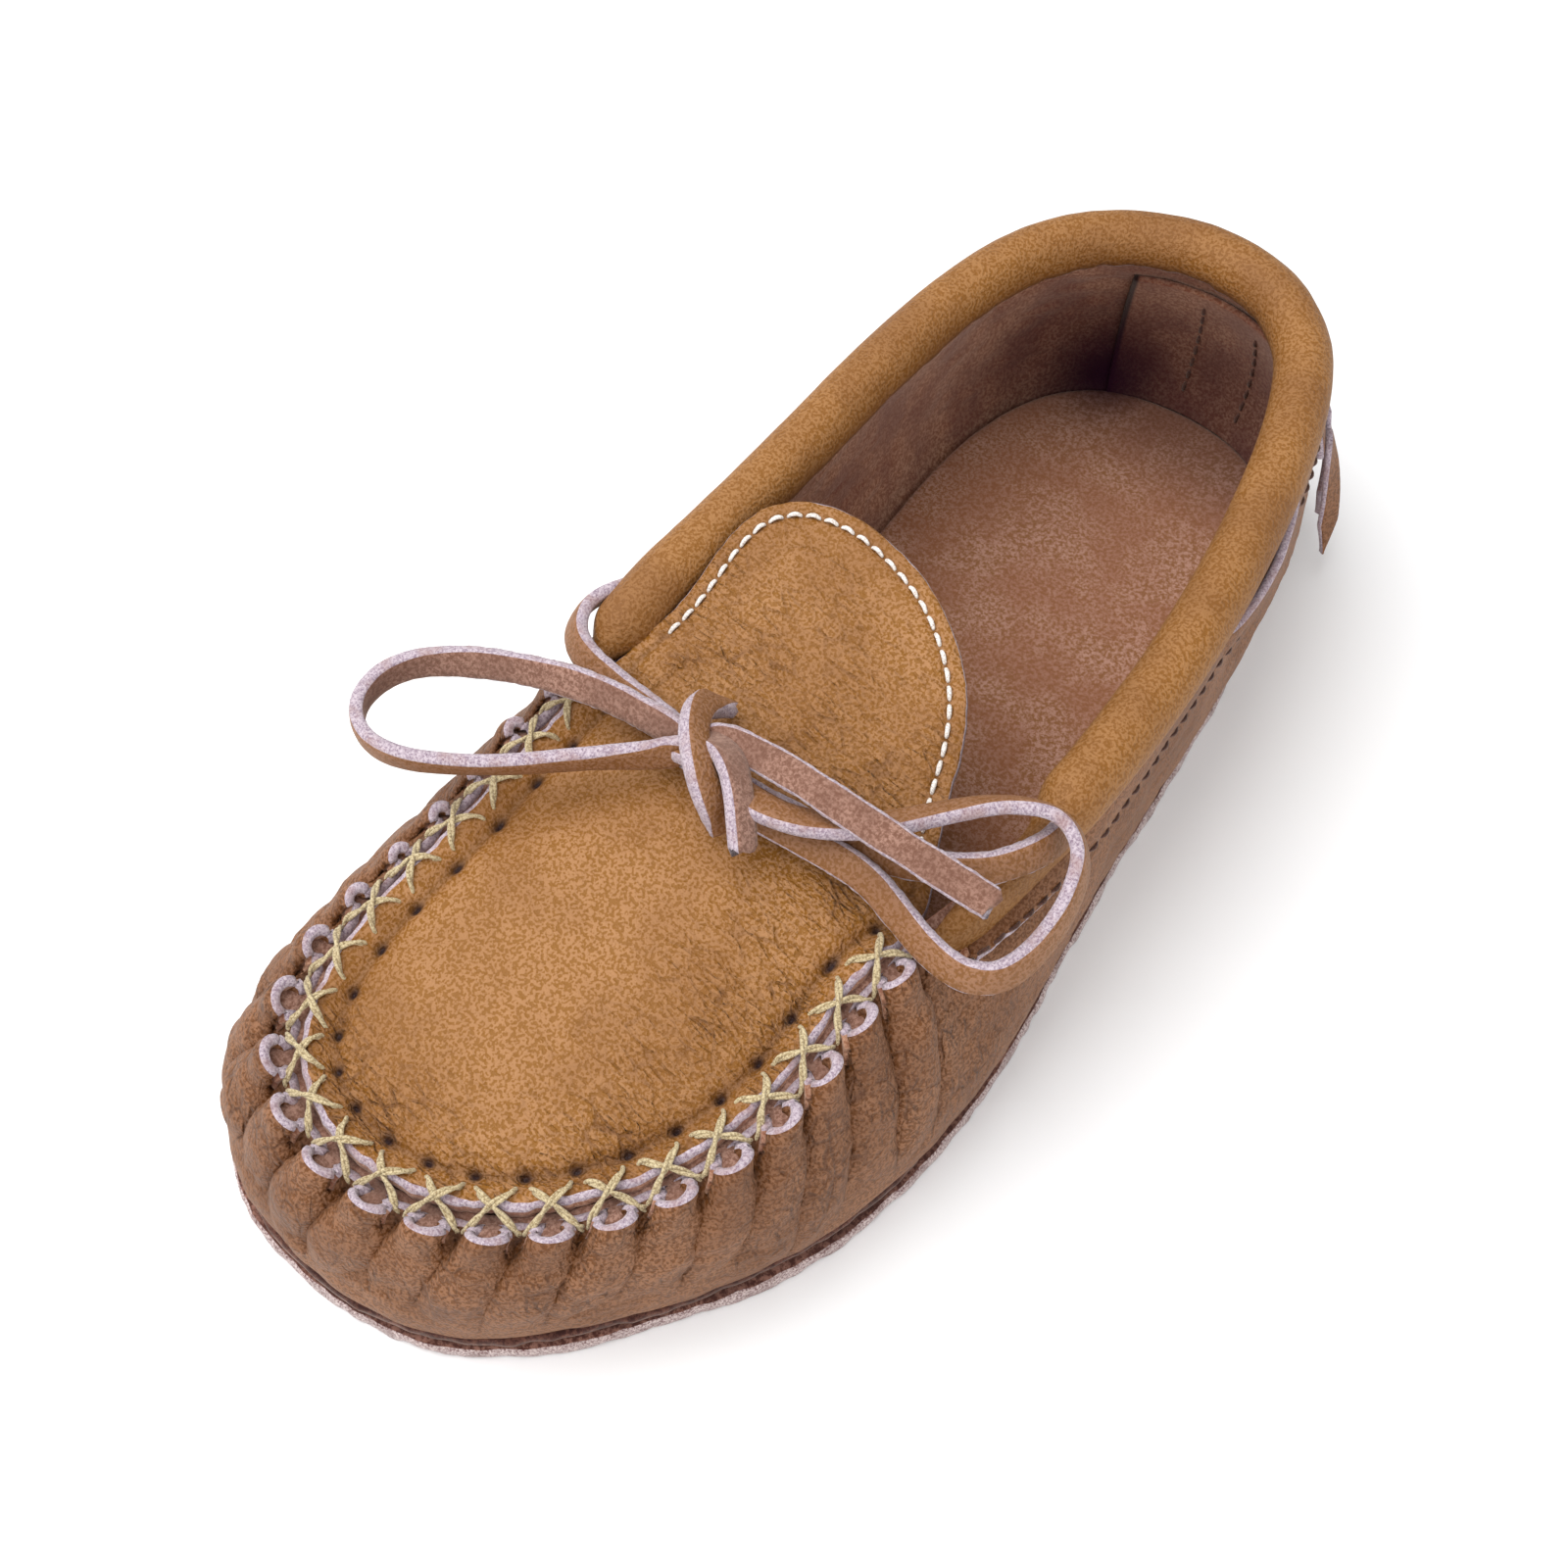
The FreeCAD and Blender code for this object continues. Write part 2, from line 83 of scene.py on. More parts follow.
def add_camera():
    """Camera at the viewing angle, looking down on the toe from the lateral side."""
    a, e, r = CAMERA_AZIMUTH, CAMERA_ELEVATION, CAMERA_ROLL
    back = np.array([math.sin(a) * math.cos(e), -math.cos(a) * math.cos(e), math.sin(e)])
    level = np.array([math.cos(a), math.sin(a), 0.0])
    upright = np.cross(back, level)
    right = level * math.cos(r) + upright * math.sin(r)
    up = upright * math.cos(r) - level * math.sin(r)
    data = bpy.data.cameras.new("camera")
    data.lens = CAMERA_LENS
    data.sensor_width = CAMERA_SENSOR
    bpy.context.scene.camera = stand("camera", data, CAMERA_PLACE, right, up, back)


# --- curves and noise

def smooth(t):
    t = np.clip(t, 0.0, 1.0)
    return t * t * (3 - 2 * t)


def unit(v):
    return v / np.maximum(np.linalg.norm(v, axis=-1, keepdims=True), 1e-9)


NOISE_CELLS = 32


def noise(points, cell, seed):
    """Smooth random value from -1 to 1 at each point, with features of a cell's size."""
    table = np.random.default_rng(seed).uniform(-1, 1, (NOISE_CELLS,) * 3)
    place = np.asarray(points, float) / cell
    corner = np.floor(place).astype(int)
    part = smooth(place - corner)
    total = 0.0
    for step in np.ndindex(2, 2, 2):
        share = 1.0
        for i, d in enumerate(step):
            share = share * (part[..., i] if d else 1 - part[..., i])
        x, y, z = ((corner[..., i] + d) % NOISE_CELLS for i, d in enumerate(step))
        total = total + share * table[x, y, z]
    return total


class Ring:
    """Closed smooth curve through points. Fractions run from 0 at the heel, over 1 at the toe,
    to 2 at the heel."""

    def __init__(self, points, toe_index):
        p = np.array(points, float)
        count = len(p)
        gap = np.linalg.norm(np.roll(p, -1, axis=0) - p, axis=1)
        pull = np.zeros((count, count))
        load = np.zeros_like(p)
        for i in range(count):
            before, after = gap[i - 1], gap[i]
            pull[i, i - 1] += before
            pull[i, i] += 2 * (before + after)
            pull[i, (i + 1) % count] += after
            load[i] = 6 * ((p[(i + 1) % count] - p[i]) / after - (p[i] - p[i - 1]) / before)
        self.points = p
        self.gap = gap
        self.bend = np.linalg.solve(pull, load)
        self.knots = np.concatenate([[0], np.cumsum(gap)])
        self.toe = self.knots[toe_index]

    def at(self, fraction):
        fraction = np.asarray(fraction, float) % 2
        total = self.knots[-1]
        t = np.where(fraction <= 1, fraction * self.toe,
                     self.toe + (fraction - 1) * (total - self.toe))
        i = np.clip(np.searchsorted(self.knots, t, side="right") - 1, 0, len(self.gap) - 1)
        j = (i + 1) % len(self.gap)
        h = self.gap[i][..., None]
        b = (t - self.knots[i])[..., None] / h
        a = 1 - b
        return (a * self.points[i] + b * self.points[j]
                + ((a ** 3 - a) * self.bend[i] + (b ** 3 - b) * self.bend[j]) * h ** 2 / 6)


def spline_line(route):
    """Points of the smooth NURBS line that has a route as its control points, in its units,
    and the place of each along the route, in control points."""
    curve = bpy.data.curves.new("route", "CURVE")
    curve.dimensions = "3D"
    curve.resolution_u = 24
    spline = curve.splines.new("NURBS")
    spline.points.add(len(route) - 1)
    for point, place in zip(spline.points, route):
        point.co = (*place, 1.0)
    spline.order_u = 3
    spline.use_endpoint_u = True
    holder = bpy.data.objects.new("route", curve)
    mesh = bpy.data.meshes.new_from_object(holder)
    line = np.array([v.co for v in mesh.vertices], float)
    bpy.data.objects.remove(holder)
    bpy.data.meshes.remove(mesh)
    bpy.data.curves.remove(curve)
    spans = len(route) - 2
    centres = np.concatenate([[0], np.arange(spans) + 0.5, [spans]])
    along = np.interp(np.linspace(0, spans, len(line)), centres, np.arange(len(route)))
    return line, along


def distances(line):
    """Distance along a line of points to each of them."""
    return np.concatenate([[0], np.cumsum(np.linalg.norm(np.diff(line, axis=0), axis=1))])


def read_at(spots, places, values):
    """Values given at places along a line, read off at other spots."""
    values = np.asarray(values, float)
    if values.ndim == 1:
        return np.interp(spots, places, values)
    return np.stack([np.interp(spots, places, column) for column in values.T], axis=1)


def resample(line, count, *values):
    """The line, and values given along it, at evenly spaced places."""
    run = distances(line)
    even = np.linspace(0, run[-1], count)
    out = [read_at(even, run, value) for value in (line, *values)]
    return out if values else out[0]


def inset_outline(points, distance):
    """The same outline moved inwards along its normals, as the CAD source does."""
    p = np.array(points, float)
    along = unit(np.roll(p, -1, axis=0) - np.roll(p, 1, axis=0))
    return p + distance * np.stack([along[:, 1], -along[:, 0]], axis=1)


def sideways(along):
    """Level direction to the left of each direction."""
    return np.stack([-along[..., 1], along[..., 0], np.zeros_like(along[..., 0])], axis=-1)


def turned(normals, toward):
    """The normals, each reversed where it points away from its direction."""
    return normals * np.sign(np.sum(normals * toward, axis=-1, keepdims=True))


def levelled(points, z):
    """The points at another height, given for each or for all."""
    points = points.copy()
    points[..., 2] = z
    return points


# --- meshes

def grid_faces(rows, columns, wrap_rows=False, wrap_columns=False):
    i, j = np.meshgrid(np.arange(rows if wrap_rows else rows - 1),
                       np.arange(columns if wrap_columns else columns - 1), indexing="ij")
    after_i = (i + 1) % rows
    after_j = (j + 1) % columns
    corners = [i * columns + j, after_i * columns + j, after_i * columns + after_j,
               i * columns + after_j]
    return np.stack(corners, axis=-1).reshape(-1, 4)


def capped_faces(count, sides):
    """Faces of a tube of rings, closed at both ends."""
    last = (count - 1) * sides
    return [*grid_faces(count, sides, wrap_columns=True), range(sides), range(last, last + sides)]


class Bundle:
    """Points, faces, a material number for each face and a painted shade for each point, put
    together.
    """

    def __init__(self):
        self.points, self.faces, self.finish, self.shade = [], [], [], []
        self.count = 0

    def add(self, points, faces, finish=0, shade=0.0):
        points = np.asarray(points, float).reshape(-1, 3)
        faces = [[int(i) + self.count for i in dict.fromkeys(face)] for face in faces]
        finish = np.broadcast_to(finish, (len(faces),))
        kept = [k for k, face in enumerate(faces) if len(face) > 2]
        self.points.append(points)
        self.faces += [faces[k] for k in kept]
        self.finish += [int(finish[k]) for k in kept]
        self.shade.append(np.broadcast_to(shade, (len(points),)))
        self.count += len(points)

    def piece(self, name, materials, slot, body, nodes=(), unit_size=MM, **marks):
        """The finished object, riding on a body and standing for its CAD nodes, with materials
        by name. Each mark is a function of the points, such as how wrinkled the leather is."""
        mesh = bpy.data.meshes.new(name)
        points = np.concatenate(self.points)
        mesh.from_pydata((points * unit_size).tolist(), [], self.faces)
        work = bmesh.new()
        work.from_mesh(mesh)
        bmesh.ops.recalc_face_normals(work, faces=work.faces)
        work.to_mesh(mesh)
        work.free()
        mesh.polygons.foreach_set("use_smooth", [True] * len(mesh.polygons))
        for material in materials:
            mesh.materials.append(MATERIALS[material])
        mesh.polygons.foreach_set("material_index", self.finish)
        amounts = {mark: amount(points) for mark, amount in marks.items()}
        for mark, amount in {"shade": np.concatenate(self.shade), **amounts}.items():
            attribute = mesh.attributes.new(mark, "FLOAT", "POINT")
            attribute.data.foreach_set("value", amount.astype(np.float32))
        obj = bpy.data.objects.new(name, mesh)
        bpy.context.scene.collection.objects.link(obj)
        if body:
            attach(obj, body)
        if nodes:
            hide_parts(*nodes)
        return obj


def normals_of(grid, wrap_rows=False, wrap_columns=False):
    """Unit normals of a grid of points, rows first."""
    def step(axis, wrap):
        if wrap:
            return np.roll(grid, -1, axis=axis) - np.roll(grid, 1, axis=axis)
        return np.gradient(grid, axis=axis)
    return unit(np.cross(step(0, wrap_rows), step(1, wrap_columns)))


def add_slab(bundle, grid, outwards, thickness, wrap_columns=False, rough=0.0, seed=0, shade=None,
             finishes=(0, 1, 2)):
    """Sheet of leather with rounded cut edges: rows run across it and columns along it.
    The grid is the middle of the sheet. Finishes are the outer face, inner face and cut edges."""
    rows, columns = grid.shape[:2]
    half = thickness / 2
    outer = grid + outwards * half
    inner = grid - outwards * half
    turns = [math.radians(v) for v in (25, 60, 90, 120, 155)]

    def rim(edge, beside, normal):
        made = []
        for turn in turns:
            fuzz = rough * noise(edge + turn, 1.3, seed + 3)[..., None]
            made.append(edge + normal * half * math.cos(turn) + unit(edge - beside)
                        * (half * 0.75 * math.sin(turn) + fuzz * math.sin(turn)))
        return made

    stack = np.stack([*outer, *rim(grid[-1], grid[-2], outwards[-1]),
                      *inner[::-1], *rim(grid[0], grid[1], -outwards[0])])
    count = len(stack)
    quads = grid_faces(count, columns, wrap_rows=True, wrap_columns=wrap_columns)
    row_of = np.repeat(np.arange(count), columns if wrap_columns else columns - 1)
    finish = np.full(len(quads), finishes[2])
    finish[row_of < rows - 1] = finishes[0]
    start = rows + len(turns)
    finish[(row_of >= start) & (row_of < start + rows - 1)] = finishes[1]
    tone = np.zeros((count, columns))
    if shade is not None:
        tone[:rows] = shade
        tone[start:start + rows] = shade[::-1]
        tone[rows:start] = shade[-1]
        tone[start + rows:] = shade[0]
    faces, finish = list(quads), list(finish)
    if not wrap_columns:
        for column in (0, columns - 1):
            for k in range(rows - 1):
                faces.append([k * columns + column, (k + 1) * columns + column,
                              (start + rows - 2 - k) * columns + column,
                              (start + rows - 1 - k) * columns + column])
                finish.append(finishes[2])
            for first in (rows - 1, start + rows - 1):
                faces.append([(first + n) % count * columns + column
                              for n in range(len(turns) + 2)])
                finish.append(finishes[2])
    bundle.add(stack.reshape(-1, 3), faces, finish, tone.reshape(-1))


def sheet(name, materials, slot, nodes, grid, outwards, thickness, marks=None, **slab):
    """A slab that is a piece by itself, riding on the shoe."""
    bundle = Bundle()
    add_slab(bundle, grid, outwards, thickness, **slab)
    bundle.piece(name, materials, slot, "shoe", nodes, **(marks or {}))


def add_tube(bundle, line, radius, sides=8, finish=0, flat=1.0, hint=UP):
    """Closed tube along a line of points, with a radius for each or for all."""
    line = np.asarray(line, float)
    along = unit(np.gradient(line, axis=0))
    side = unit(np.cross(along, np.broadcast_to(hint, line.shape)))
    over = np.cross(side, along)
    radius = np.broadcast_to(radius, (len(line),))[:, None, None]
    angle = np.linspace(0, 2 * math.pi, sides, endpoint=False)[None, :, None]
    skin = line[:, None] + radius * (side[:, None] * np.cos(angle)
                                     + over[:, None] * np.sin(angle) * flat)
    bundle.add(skin, capped_faces(len(line), sides), finish)


def add_loaf(bundle, rings, finishes, columns, settle_top, settle_base, shade=None):
    """Closed body on an outline: rings of points from the top's inner one, over the edge, to the
    underside's inner one. Its two middles are filled with rows from side to side."""
    count, length = rings.shape[:2]
    half = length // 2
    k = np.arange(1, half)
    share = (np.arange(1, columns) / columns)[None, :, None]
    points = rings.reshape(-1, 3)
    faces = list(grid_faces(count, length, wrap_columns=True))
    finish = list(np.repeat(finishes, length))
    for row, settle, kind in ((0, settle_top, finishes[0]), (count - 1, settle_base, finishes[-1])):
        ring, first = rings[row], row * length
        inside = settle(ring[k][:, None] + (ring[length - k] - ring[k])[:, None] * share)
        names = np.zeros((half + 1, columns + 1), int)
        names[0] = first
        names[half] = first + half
        names[1:half, 0] = first + k
        names[1:half, columns] = first + length - k
        middle = np.arange(inside[..., 0].size).reshape(half - 1, -1)
        names[1:half, 1:columns] = len(points) + middle
        points = np.concatenate([points, inside.reshape(-1, 3)])
        quads = names.reshape(-1)[grid_faces(half + 1, columns + 1)]
        faces += list(quads)
        finish += [kind] * len(quads)
    tone = np.zeros(len(points))
    if shade is not None:
        tone[:count * length] = shade.reshape(-1)
    bundle.add(points, faces, finish, tone)


# --- materials

# The colour sockets of Blender's Mix node, which has several of the same name
MIX_FACTOR, MIX_A, MIX_B, MIX_RESULT = 0, 6, 7, 2


def colour(*rgb):
    """Linear colour of an sRGB one given from 0 to 255."""
    parts = [v / 255 for v in rgb]
    return (*[v / 12.92 if v <= 0.04045 else ((v + 0.055) / 1.055) ** 2.4 for v in parts], 1.0)


class Finish:
    """Small helper that builds one node material."""

    def __init__(self, name):
        self.material = bpy.data.materials.new(name)
        self.material.use_nodes = True
        self.nodes = self.material.node_tree.nodes
        self.shader = self.nodes["Principled BSDF"]
        self.place = self.nodes.new("ShaderNodeTexCoord").outputs["Object"]

    def feed(self, node, inputs):
        """Links each input to another node's output, or sets it to a plain value."""
        for key, value in inputs.items():
            if isinstance(value, bpy.types.NodeSocket):
                self.material.node_tree.links.new(value, node.inputs[key])
            else:
                node.inputs[key].default_value = value

    def node(self, kind, output, inputs, **settings):
        """One output of a new node."""
        node = self.nodes.new("ShaderNode" + kind)
        for setting, value in settings.items():
            setattr(node, setting, value)
        self.feed(node, inputs)
        return node.outputs[output]

    def mapped(self, vector, stretch, offset):
        place = (offset, offset * 0.7, -offset)
        return self.node("Mapping", "Vector",
                         {"Vector": vector, "Scale": stretch, "Location": place})

    def noise(self, size_mm, detail=3.0, rough=0.6, stretch=(1, 1, 1), offset=0.0):
        vector = self.mapped(self.place, stretch, offset)
        return self.node("TexNoise", "Fac", {"Vector": vector, "Scale": 1 / (size_mm * MM),
                                             "Detail": detail, "Roughness": rough})

    def creases(self, size_mm, stretch, drift_mm, offset):
        """Distance from the nearest line of a branching net of creases, in cell sizes."""
        wander = self.node("TexNoise", "Color", {"Vector": self.place, "Detail": 3.0,
                                                 "Scale": 0.7 / (size_mm * MM)})
        moved = self.node("VectorMath", "Vector",
                          {0: wander, 1: (drift_mm * MM,) * 3, 2: self.place},
                          operation="MULTIPLY_ADD")
        return self.node("TexVoronoi", "Distance",
                         {"Vector": self.mapped(moved, stretch, offset),
                          "Scale": 1 / (size_mm * MM)}, feature="DISTANCE_TO_EDGE")

    def steps(self, value, low, high, first=0.0, last=1.0):
        return self.node("MapRange", "Result",
                         {"Value": value, "From Min": low, "From Max": high,
                          "To Min": first, "To Max": last}, interpolation_type="SMOOTHSTEP")

    def mix(self, share, a, b):
        return self.node("Mix", MIX_RESULT, {MIX_FACTOR: share, MIX_A: a, MIX_B: b},
                         data_type="RGBA")

    def maths(self, operation, a, b):
        return self.node("Math", 0, {0: a, 1: b}, operation=operation)

    def attribute(self, name):
        return self.node("Attribute", "Fac", {}, attribute_name=name)

    def bump(self, height, distance_mm, strength=1.0, before=None):
        under = {} if before is None else {"Normal": before}
        return self.node("Bump", "Normal", {"Height": height, "Strength": strength,
                                            "Distance": distance_mm * MM, **under})

    def done(self, base, rough, normal, specular=0.3, sheen=0.0, sheen_tint=None):
        tint = {"Sheen Tint": sheen_tint} if sheen_tint else {}
        self.feed(self.shader, {
            "Base Color": base, "Roughness": rough, "Normal": normal, "Sheen Weight": sheen,
            "Specular IOR Level": specular, "Sheen Roughness": 0.6, **tint})
        return self.material


def darker(tone, red, green, blue):
    """A colour with its parts scaled down."""
    return (tone[0] * red, tone[1] * green, tone[2] * blue, 1.0)


def nap_leather(name, tones, mottle=0.5, offset=0.0, wrinkle_shade=0.5, lie=(0.55, 1.6, 1.0)):
    """Oiled leather with a short nap: a worm-like mottle, cloudy tone, fine wrinkle lines where the
    piece is marked as creased, darkened as painted shade, and painted shade in creases, holes and
    hollows marked by the shade attribute. The wrinkle lines run the way they lie: along the axis
    with the smallest number."""
    f = Finish(name)
    main, pink, deep, crease_shade = (colour(*tone) for tone in tones)
    nap = f.noise(0.62, 1.5, 0.5, offset=offset)
    speck = f.steps(nap, 0.44, 0.55)
    clouds = f.steps(f.noise(22, 3.0, 0.55, offset=offset + 3), 0.35, 0.68)
    base = f.mix(f.maths("MULTIPLY", speck, mottle), main, pink)
    base = f.mix(f.maths("MULTIPLY", clouds, 0.4), base, deep)
    crinkle = f.attribute("crinkle")
    waves = f.noise(4.0, 2.0, 0.5, stretch=lie, offset=offset + 7)
    patchy = f.steps(f.noise(6.0, 2.0, 0.5, offset=offset + 11), 0.40, 0.60)
    coarse = f.creases(4.2, lie, 1.9, offset + 0.013)
    fine = f.creases(2.2, lie, 1.1, offset + 0.029)
    coarse_line = f.maths("MULTIPLY", f.steps(coarse, 0.12, 0.0), patchy)
    fine_line = f.maths("MULTIPLY", f.steps(fine, 0.14, 0.0), 0.4)
    lines = f.maths("MULTIPLY", f.maths("MAXIMUM", coarse_line, fine_line), crinkle)
    # Painted shade: the fine wrinkle lines are darkened where the piece is crinkled.
    base = f.mix(f.maths("MULTIPLY", lines, wrinkle_shade), base, darker(deep, 0.42, 0.34, 0.40))
    # Painted shade: darkened where the piece's shade attribute is set, in creases, holes and
    # hollows.
    base = f.mix(f.attribute("shade"), base, crease_shade)
    normal = f.bump(f.maths("MULTIPLY", waves, crinkle), 2.2, 0.8)
    normal = f.bump(f.maths("SUBTRACT", 1.0, lines), 0.55, 0.8, normal)
    normal = f.bump(nap, 0.42, 0.8, normal)
    normal = f.bump(f.noise(0.4, 2.0, 0.5), 0.10, 0.5, normal)
    rough = f.steps(nap, 0.3, 0.7, 0.50, 0.70)
    return f.done(base, rough, normal, 0.30, 0.04, (0.9, 0.7, 0.5, 1.0))


def suede(name, tones, size=0.9, offset=0.0, fibre=0.5):
    """Flesh side: stronger mottle and a soft fibrous surface."""
    f = Finish(name)
    main, light, deep = (colour(*tone) for tone in tones)
    nap = f.noise(size, 5.0, 0.75, offset=offset)
    spots = f.steps(nap, 0.42, 0.60)
    clouds = f.steps(f.noise(14, 3.0, 0.55, offset=offset + 2), 0.35, 0.65)
    base = f.mix(spots, main, light)
    base = f.mix(f.maths("MULTIPLY", clouds, 0.55), base, deep)
    # Painted shade: darkened where the piece's shade attribute is set.
    base = f.mix(f.attribute("shade"), base, darker(deep, 0.12, 0.10, 0.14))
    # Darkened to a purple-brown, with its sheen faded, where marked: partly wear, partly painted
    # shade of the heel's hollow.
    worn = f.attribute("worn")
    base = f.mix(worn, base, colour(*WEAR_AND_SHADE_COLOUR))
    normal = f.bump(nap, 0.3, fibre)
    sheen = f.steps(worn, 0.0, 1.0, 0.35, 0.0)
    return f.done(base, 0.92, normal, 0.12, sheen, (0.95, 0.8, 0.7, 1.0))


def cut_edge(name, tones):
    """Split edge of the leather, pale with fibres."""
    f = Finish(name)
    pale, grey, tan = (colour(*tone) for tone in tones)
    fibres = f.noise(0.45, 4.0, 0.75)
    patches = f.steps(f.noise(4.0, 3.0, 0.6, offset=5), 0.45, 0.72)
    base = f.mix(f.steps(fibres, 0.35, 0.62), grey, pale)
    base = f.mix(f.maths("MULTIPLY", patches, 0.5), base, tan)
    # Painted shade: darkened where the piece's shade attribute is set.
    base = f.mix(f.attribute("shade"), base, darker(tan, 0.25, 0.2, 0.2))
    return f.done(base, 0.9, f.bump(fibres, 0.2, 0.8), 0.15, 0.2, (1.0, 1.0, 1.0, 1.0))


def thread_finish(name, tones, strand_mm):
    f = Finish(name)
    pale, dark = (colour(*tone) for tone in tones)
    fine = f.noise(strand_mm, 3.0, 0.6)
    base = f.mix(f.steps(fine, 0.35, 0.62), dark, pale)
    return f.done(base, 0.75, f.bump(fine, 0.12, 0.7), 0.25, 0.25, (1.0, 1.0, 0.9, 1.0))


GRAIN_SHEET = ("wall", "lining", "edge")
# Painted shade colour for creases, holes and hollows of the grain leathers; each grain leather's
# fourth tone below is such a painted shade colour.
CREASE_SHADE = (36, 10, 10)
# Purple-brown of the heel's hollow: partly wear, partly painted shade.
WEAR_AND_SHADE_COLOUR = (44, 14, 34)
MATERIALS = {
    "plug": nap_leather("plug_leather", [(134, 86, 20), (169, 123, 82), (118, 72, 24), CREASE_SHADE],
                        0.85, 0.0, 0.65),
    "wall": nap_leather("wall_leather", [(107, 63, 25), (150, 106, 76), (88, 50, 24),
                                         (24, 6, 10)], 0.8, 0.4, 0.75, (1.3, 1.3, 0.5)),
    "collar": nap_leather("collar_leather", [(132, 84, 26), (158, 112, 66), (104, 62, 28),
                                             CREASE_SHADE], 0.9, 0.9, 0.3),
    "lace": nap_leather("lace_leather", [(128, 84, 44), (154, 112, 84), (116, 74, 42),
                                         (70, 42, 32)], 0.85, 1.3, 0.3),
    "lace_flesh": suede("lace_suede", [(116, 78, 62), (166, 128, 112), (104, 68, 54)],
                        0.7, 0.2, 0.8),
    "lining": suede("lining_suede", [(144, 90, 60), (196, 150, 122), (108, 54, 48)], 0.75, 0.6),
    "insole": suede("footbed_suede", [(134, 88, 52), (178, 136, 118), (138, 86, 58)], 0.8, 0.0),
    "edge": cut_edge("cut_edge", [(200, 186, 194), (132, 112, 128), (150, 112, 100)]),
    "sole_edge": cut_edge("sole_edge", [(216, 198, 194), (104, 66, 66), (92, 54, 44)]),
    "sole": suede("sole_leather", [(74, 36, 28), (146, 104, 90), (52, 22, 22)], 1.0, 0.3),
    "rand": suede("rand_leather", [(58, 24, 22), (110, 70, 58), (42, 16, 18)], 1.0, 0.5),
    "foam": suede("foam", [(196, 186, 160), (214, 204, 180), (180, 168, 140)]),
    "waxed": thread_finish("waxed_thread", [(204, 188, 150), (140, 118, 82)], 0.35),
    "white": thread_finish("white_thread", [(246, 242, 236), (190, 176, 168)], 0.3),
    "brown": thread_finish("brown_thread", [(92, 56, 44), (56, 30, 26)], 0.3),
}


# --- the thong: two cords, each from its collar end through the knot, round its loop and out

LACE_WIDTH = 0.0058
LACE_THICKNESS = 0.0026
LACE_FINISHES = ("lace", "lace_flesh", "edge")
POINT_STEP = 0.0007

# Each point of a route is its place in millimetres, and then the way that the grain side faces:
# a compass bearing in degrees from +X towards +Y, and the angle above level.
LEFT_ROUTE = np.array([
    (-43, -10, 52.5, 180, 25), (-47.2, -16.5, 53.5, 180, 25), (-49.5, -26.5, 54.2, 200, 25),
    (-43.5, -34.2, 54.6, 240, 30), (-30, -34.7, 54.6, 265, 35), (-15.5, -35.7, 57, 268, 50),
    (-3, -37.5, 57.5, 280, 60), (-1, -39.5, 59.5, 0, 30), (-5, -38.5, 61.2, 60, -20),
    (-14, -37.3, 60.5, 85, -34), (-33, -40.2, 59.2, 95, -36), (-52, -48.5, 56.6, 115, -28),
    (-63.5, -58.5, 54.6, 160, -5), (-62.5, -70.5, 53.8, 215, 4), (-51, -73.8, 54, 270, -8),
    (-35.5, -63.2, 55.2, 305, -18), (-22, -49.5, 57.3, 310, -12), (-11.5, -40.5, 59.5, 310, 20),
    (-7.8, -36.5, 64, 200, -60), (-1.8, -37.2, 66.4, 230, -60), (4.4, -41, 65, 235, -52),
    (10.5, -46.6, 60, 235, -50)], float)
RIGHT_ROUTE = np.array([
    (43.8, 0, 53.5, 20, 25), (46, -6.6, 56.6, 350, 35), (44.8, -14.5, 58, 335, 35),
    (40, -22.2, 57.2, 320, 35), (26, -30, 55.4, 300, 35), (13, -34, 56.2, 290, 40),
    (-1, -37.5, 57.2, 285, 50), (-9, -38, 58, 260, 60), (-11, -39, 60.5, 180, 50),
    (-7, -39.5, 62, 110, 70), (0, -39.8, 62, 105, 78), (9, -39.5, 62.2, 110, 74),
    (17.2, -35.8, 62.4, 118, 68), (24.5, -29.2, 62.8, 125, 62), (30.5, -20.2, 63.2, 130, 55),
    (36.8, -11.5, 63.6, 125, 45), (44.8, -6.2, 63.2, 95, 32), (51.8, -8.2, 61, 50, 22),
    (55.6, -15.8, 58.4, 10, 16), (56.8, -25, 56, 350, 16), (55.6, -32.8, 54.6, 320, 20),
    (50.8, -36.8, 54.2, 285, 28), (43.5, -37.2, 54.5, 262, 36), (35.5, -35.6, 55, 255, 42),
    (27, -34, 55.8, 255, 45), (16, -36.5, 57, 255, 50), (2, -40, 58.5, 262, 60),
    (-8.5, -38.5, 60.5, 180, 30), (-7.5, -34.5, 63.4, 120, -50), (7, -33.2, 66.6, 95, -62),
    (21, -32.5, 67.3, 97, -62), (35, -31, 66.8, 100, -62), (48.8, -28.4, 64.8, 100, -62)], float)
KNOT_BAND_ROUTE = np.array([
    (-13, -26.5, 57.5, 110, 25), (-14.2, -30.5, 63, 75, 42), (-10, -37.5, 66.8, 45, 50),
    (-3.5, -42.8, 66.4, 30, 50), (2.2, -45, 61.5, 0, 40), (2.8, -43.5, 56, 330, 15)], float)


def smooth_route(route):
    """The smooth line of a route in metres, and the way the grain side faces along it."""
    line, along = spline_line(route[:, :3] * MM)
    bearing, lift = np.radians(route[:, 3:]).T
    faces = np.stack([np.cos(bearing) * np.cos(lift), np.sin(bearing) * np.cos(lift),
                      np.sin(lift)], axis=1)
    return line, read_at(along, np.arange(len(route)), faces)


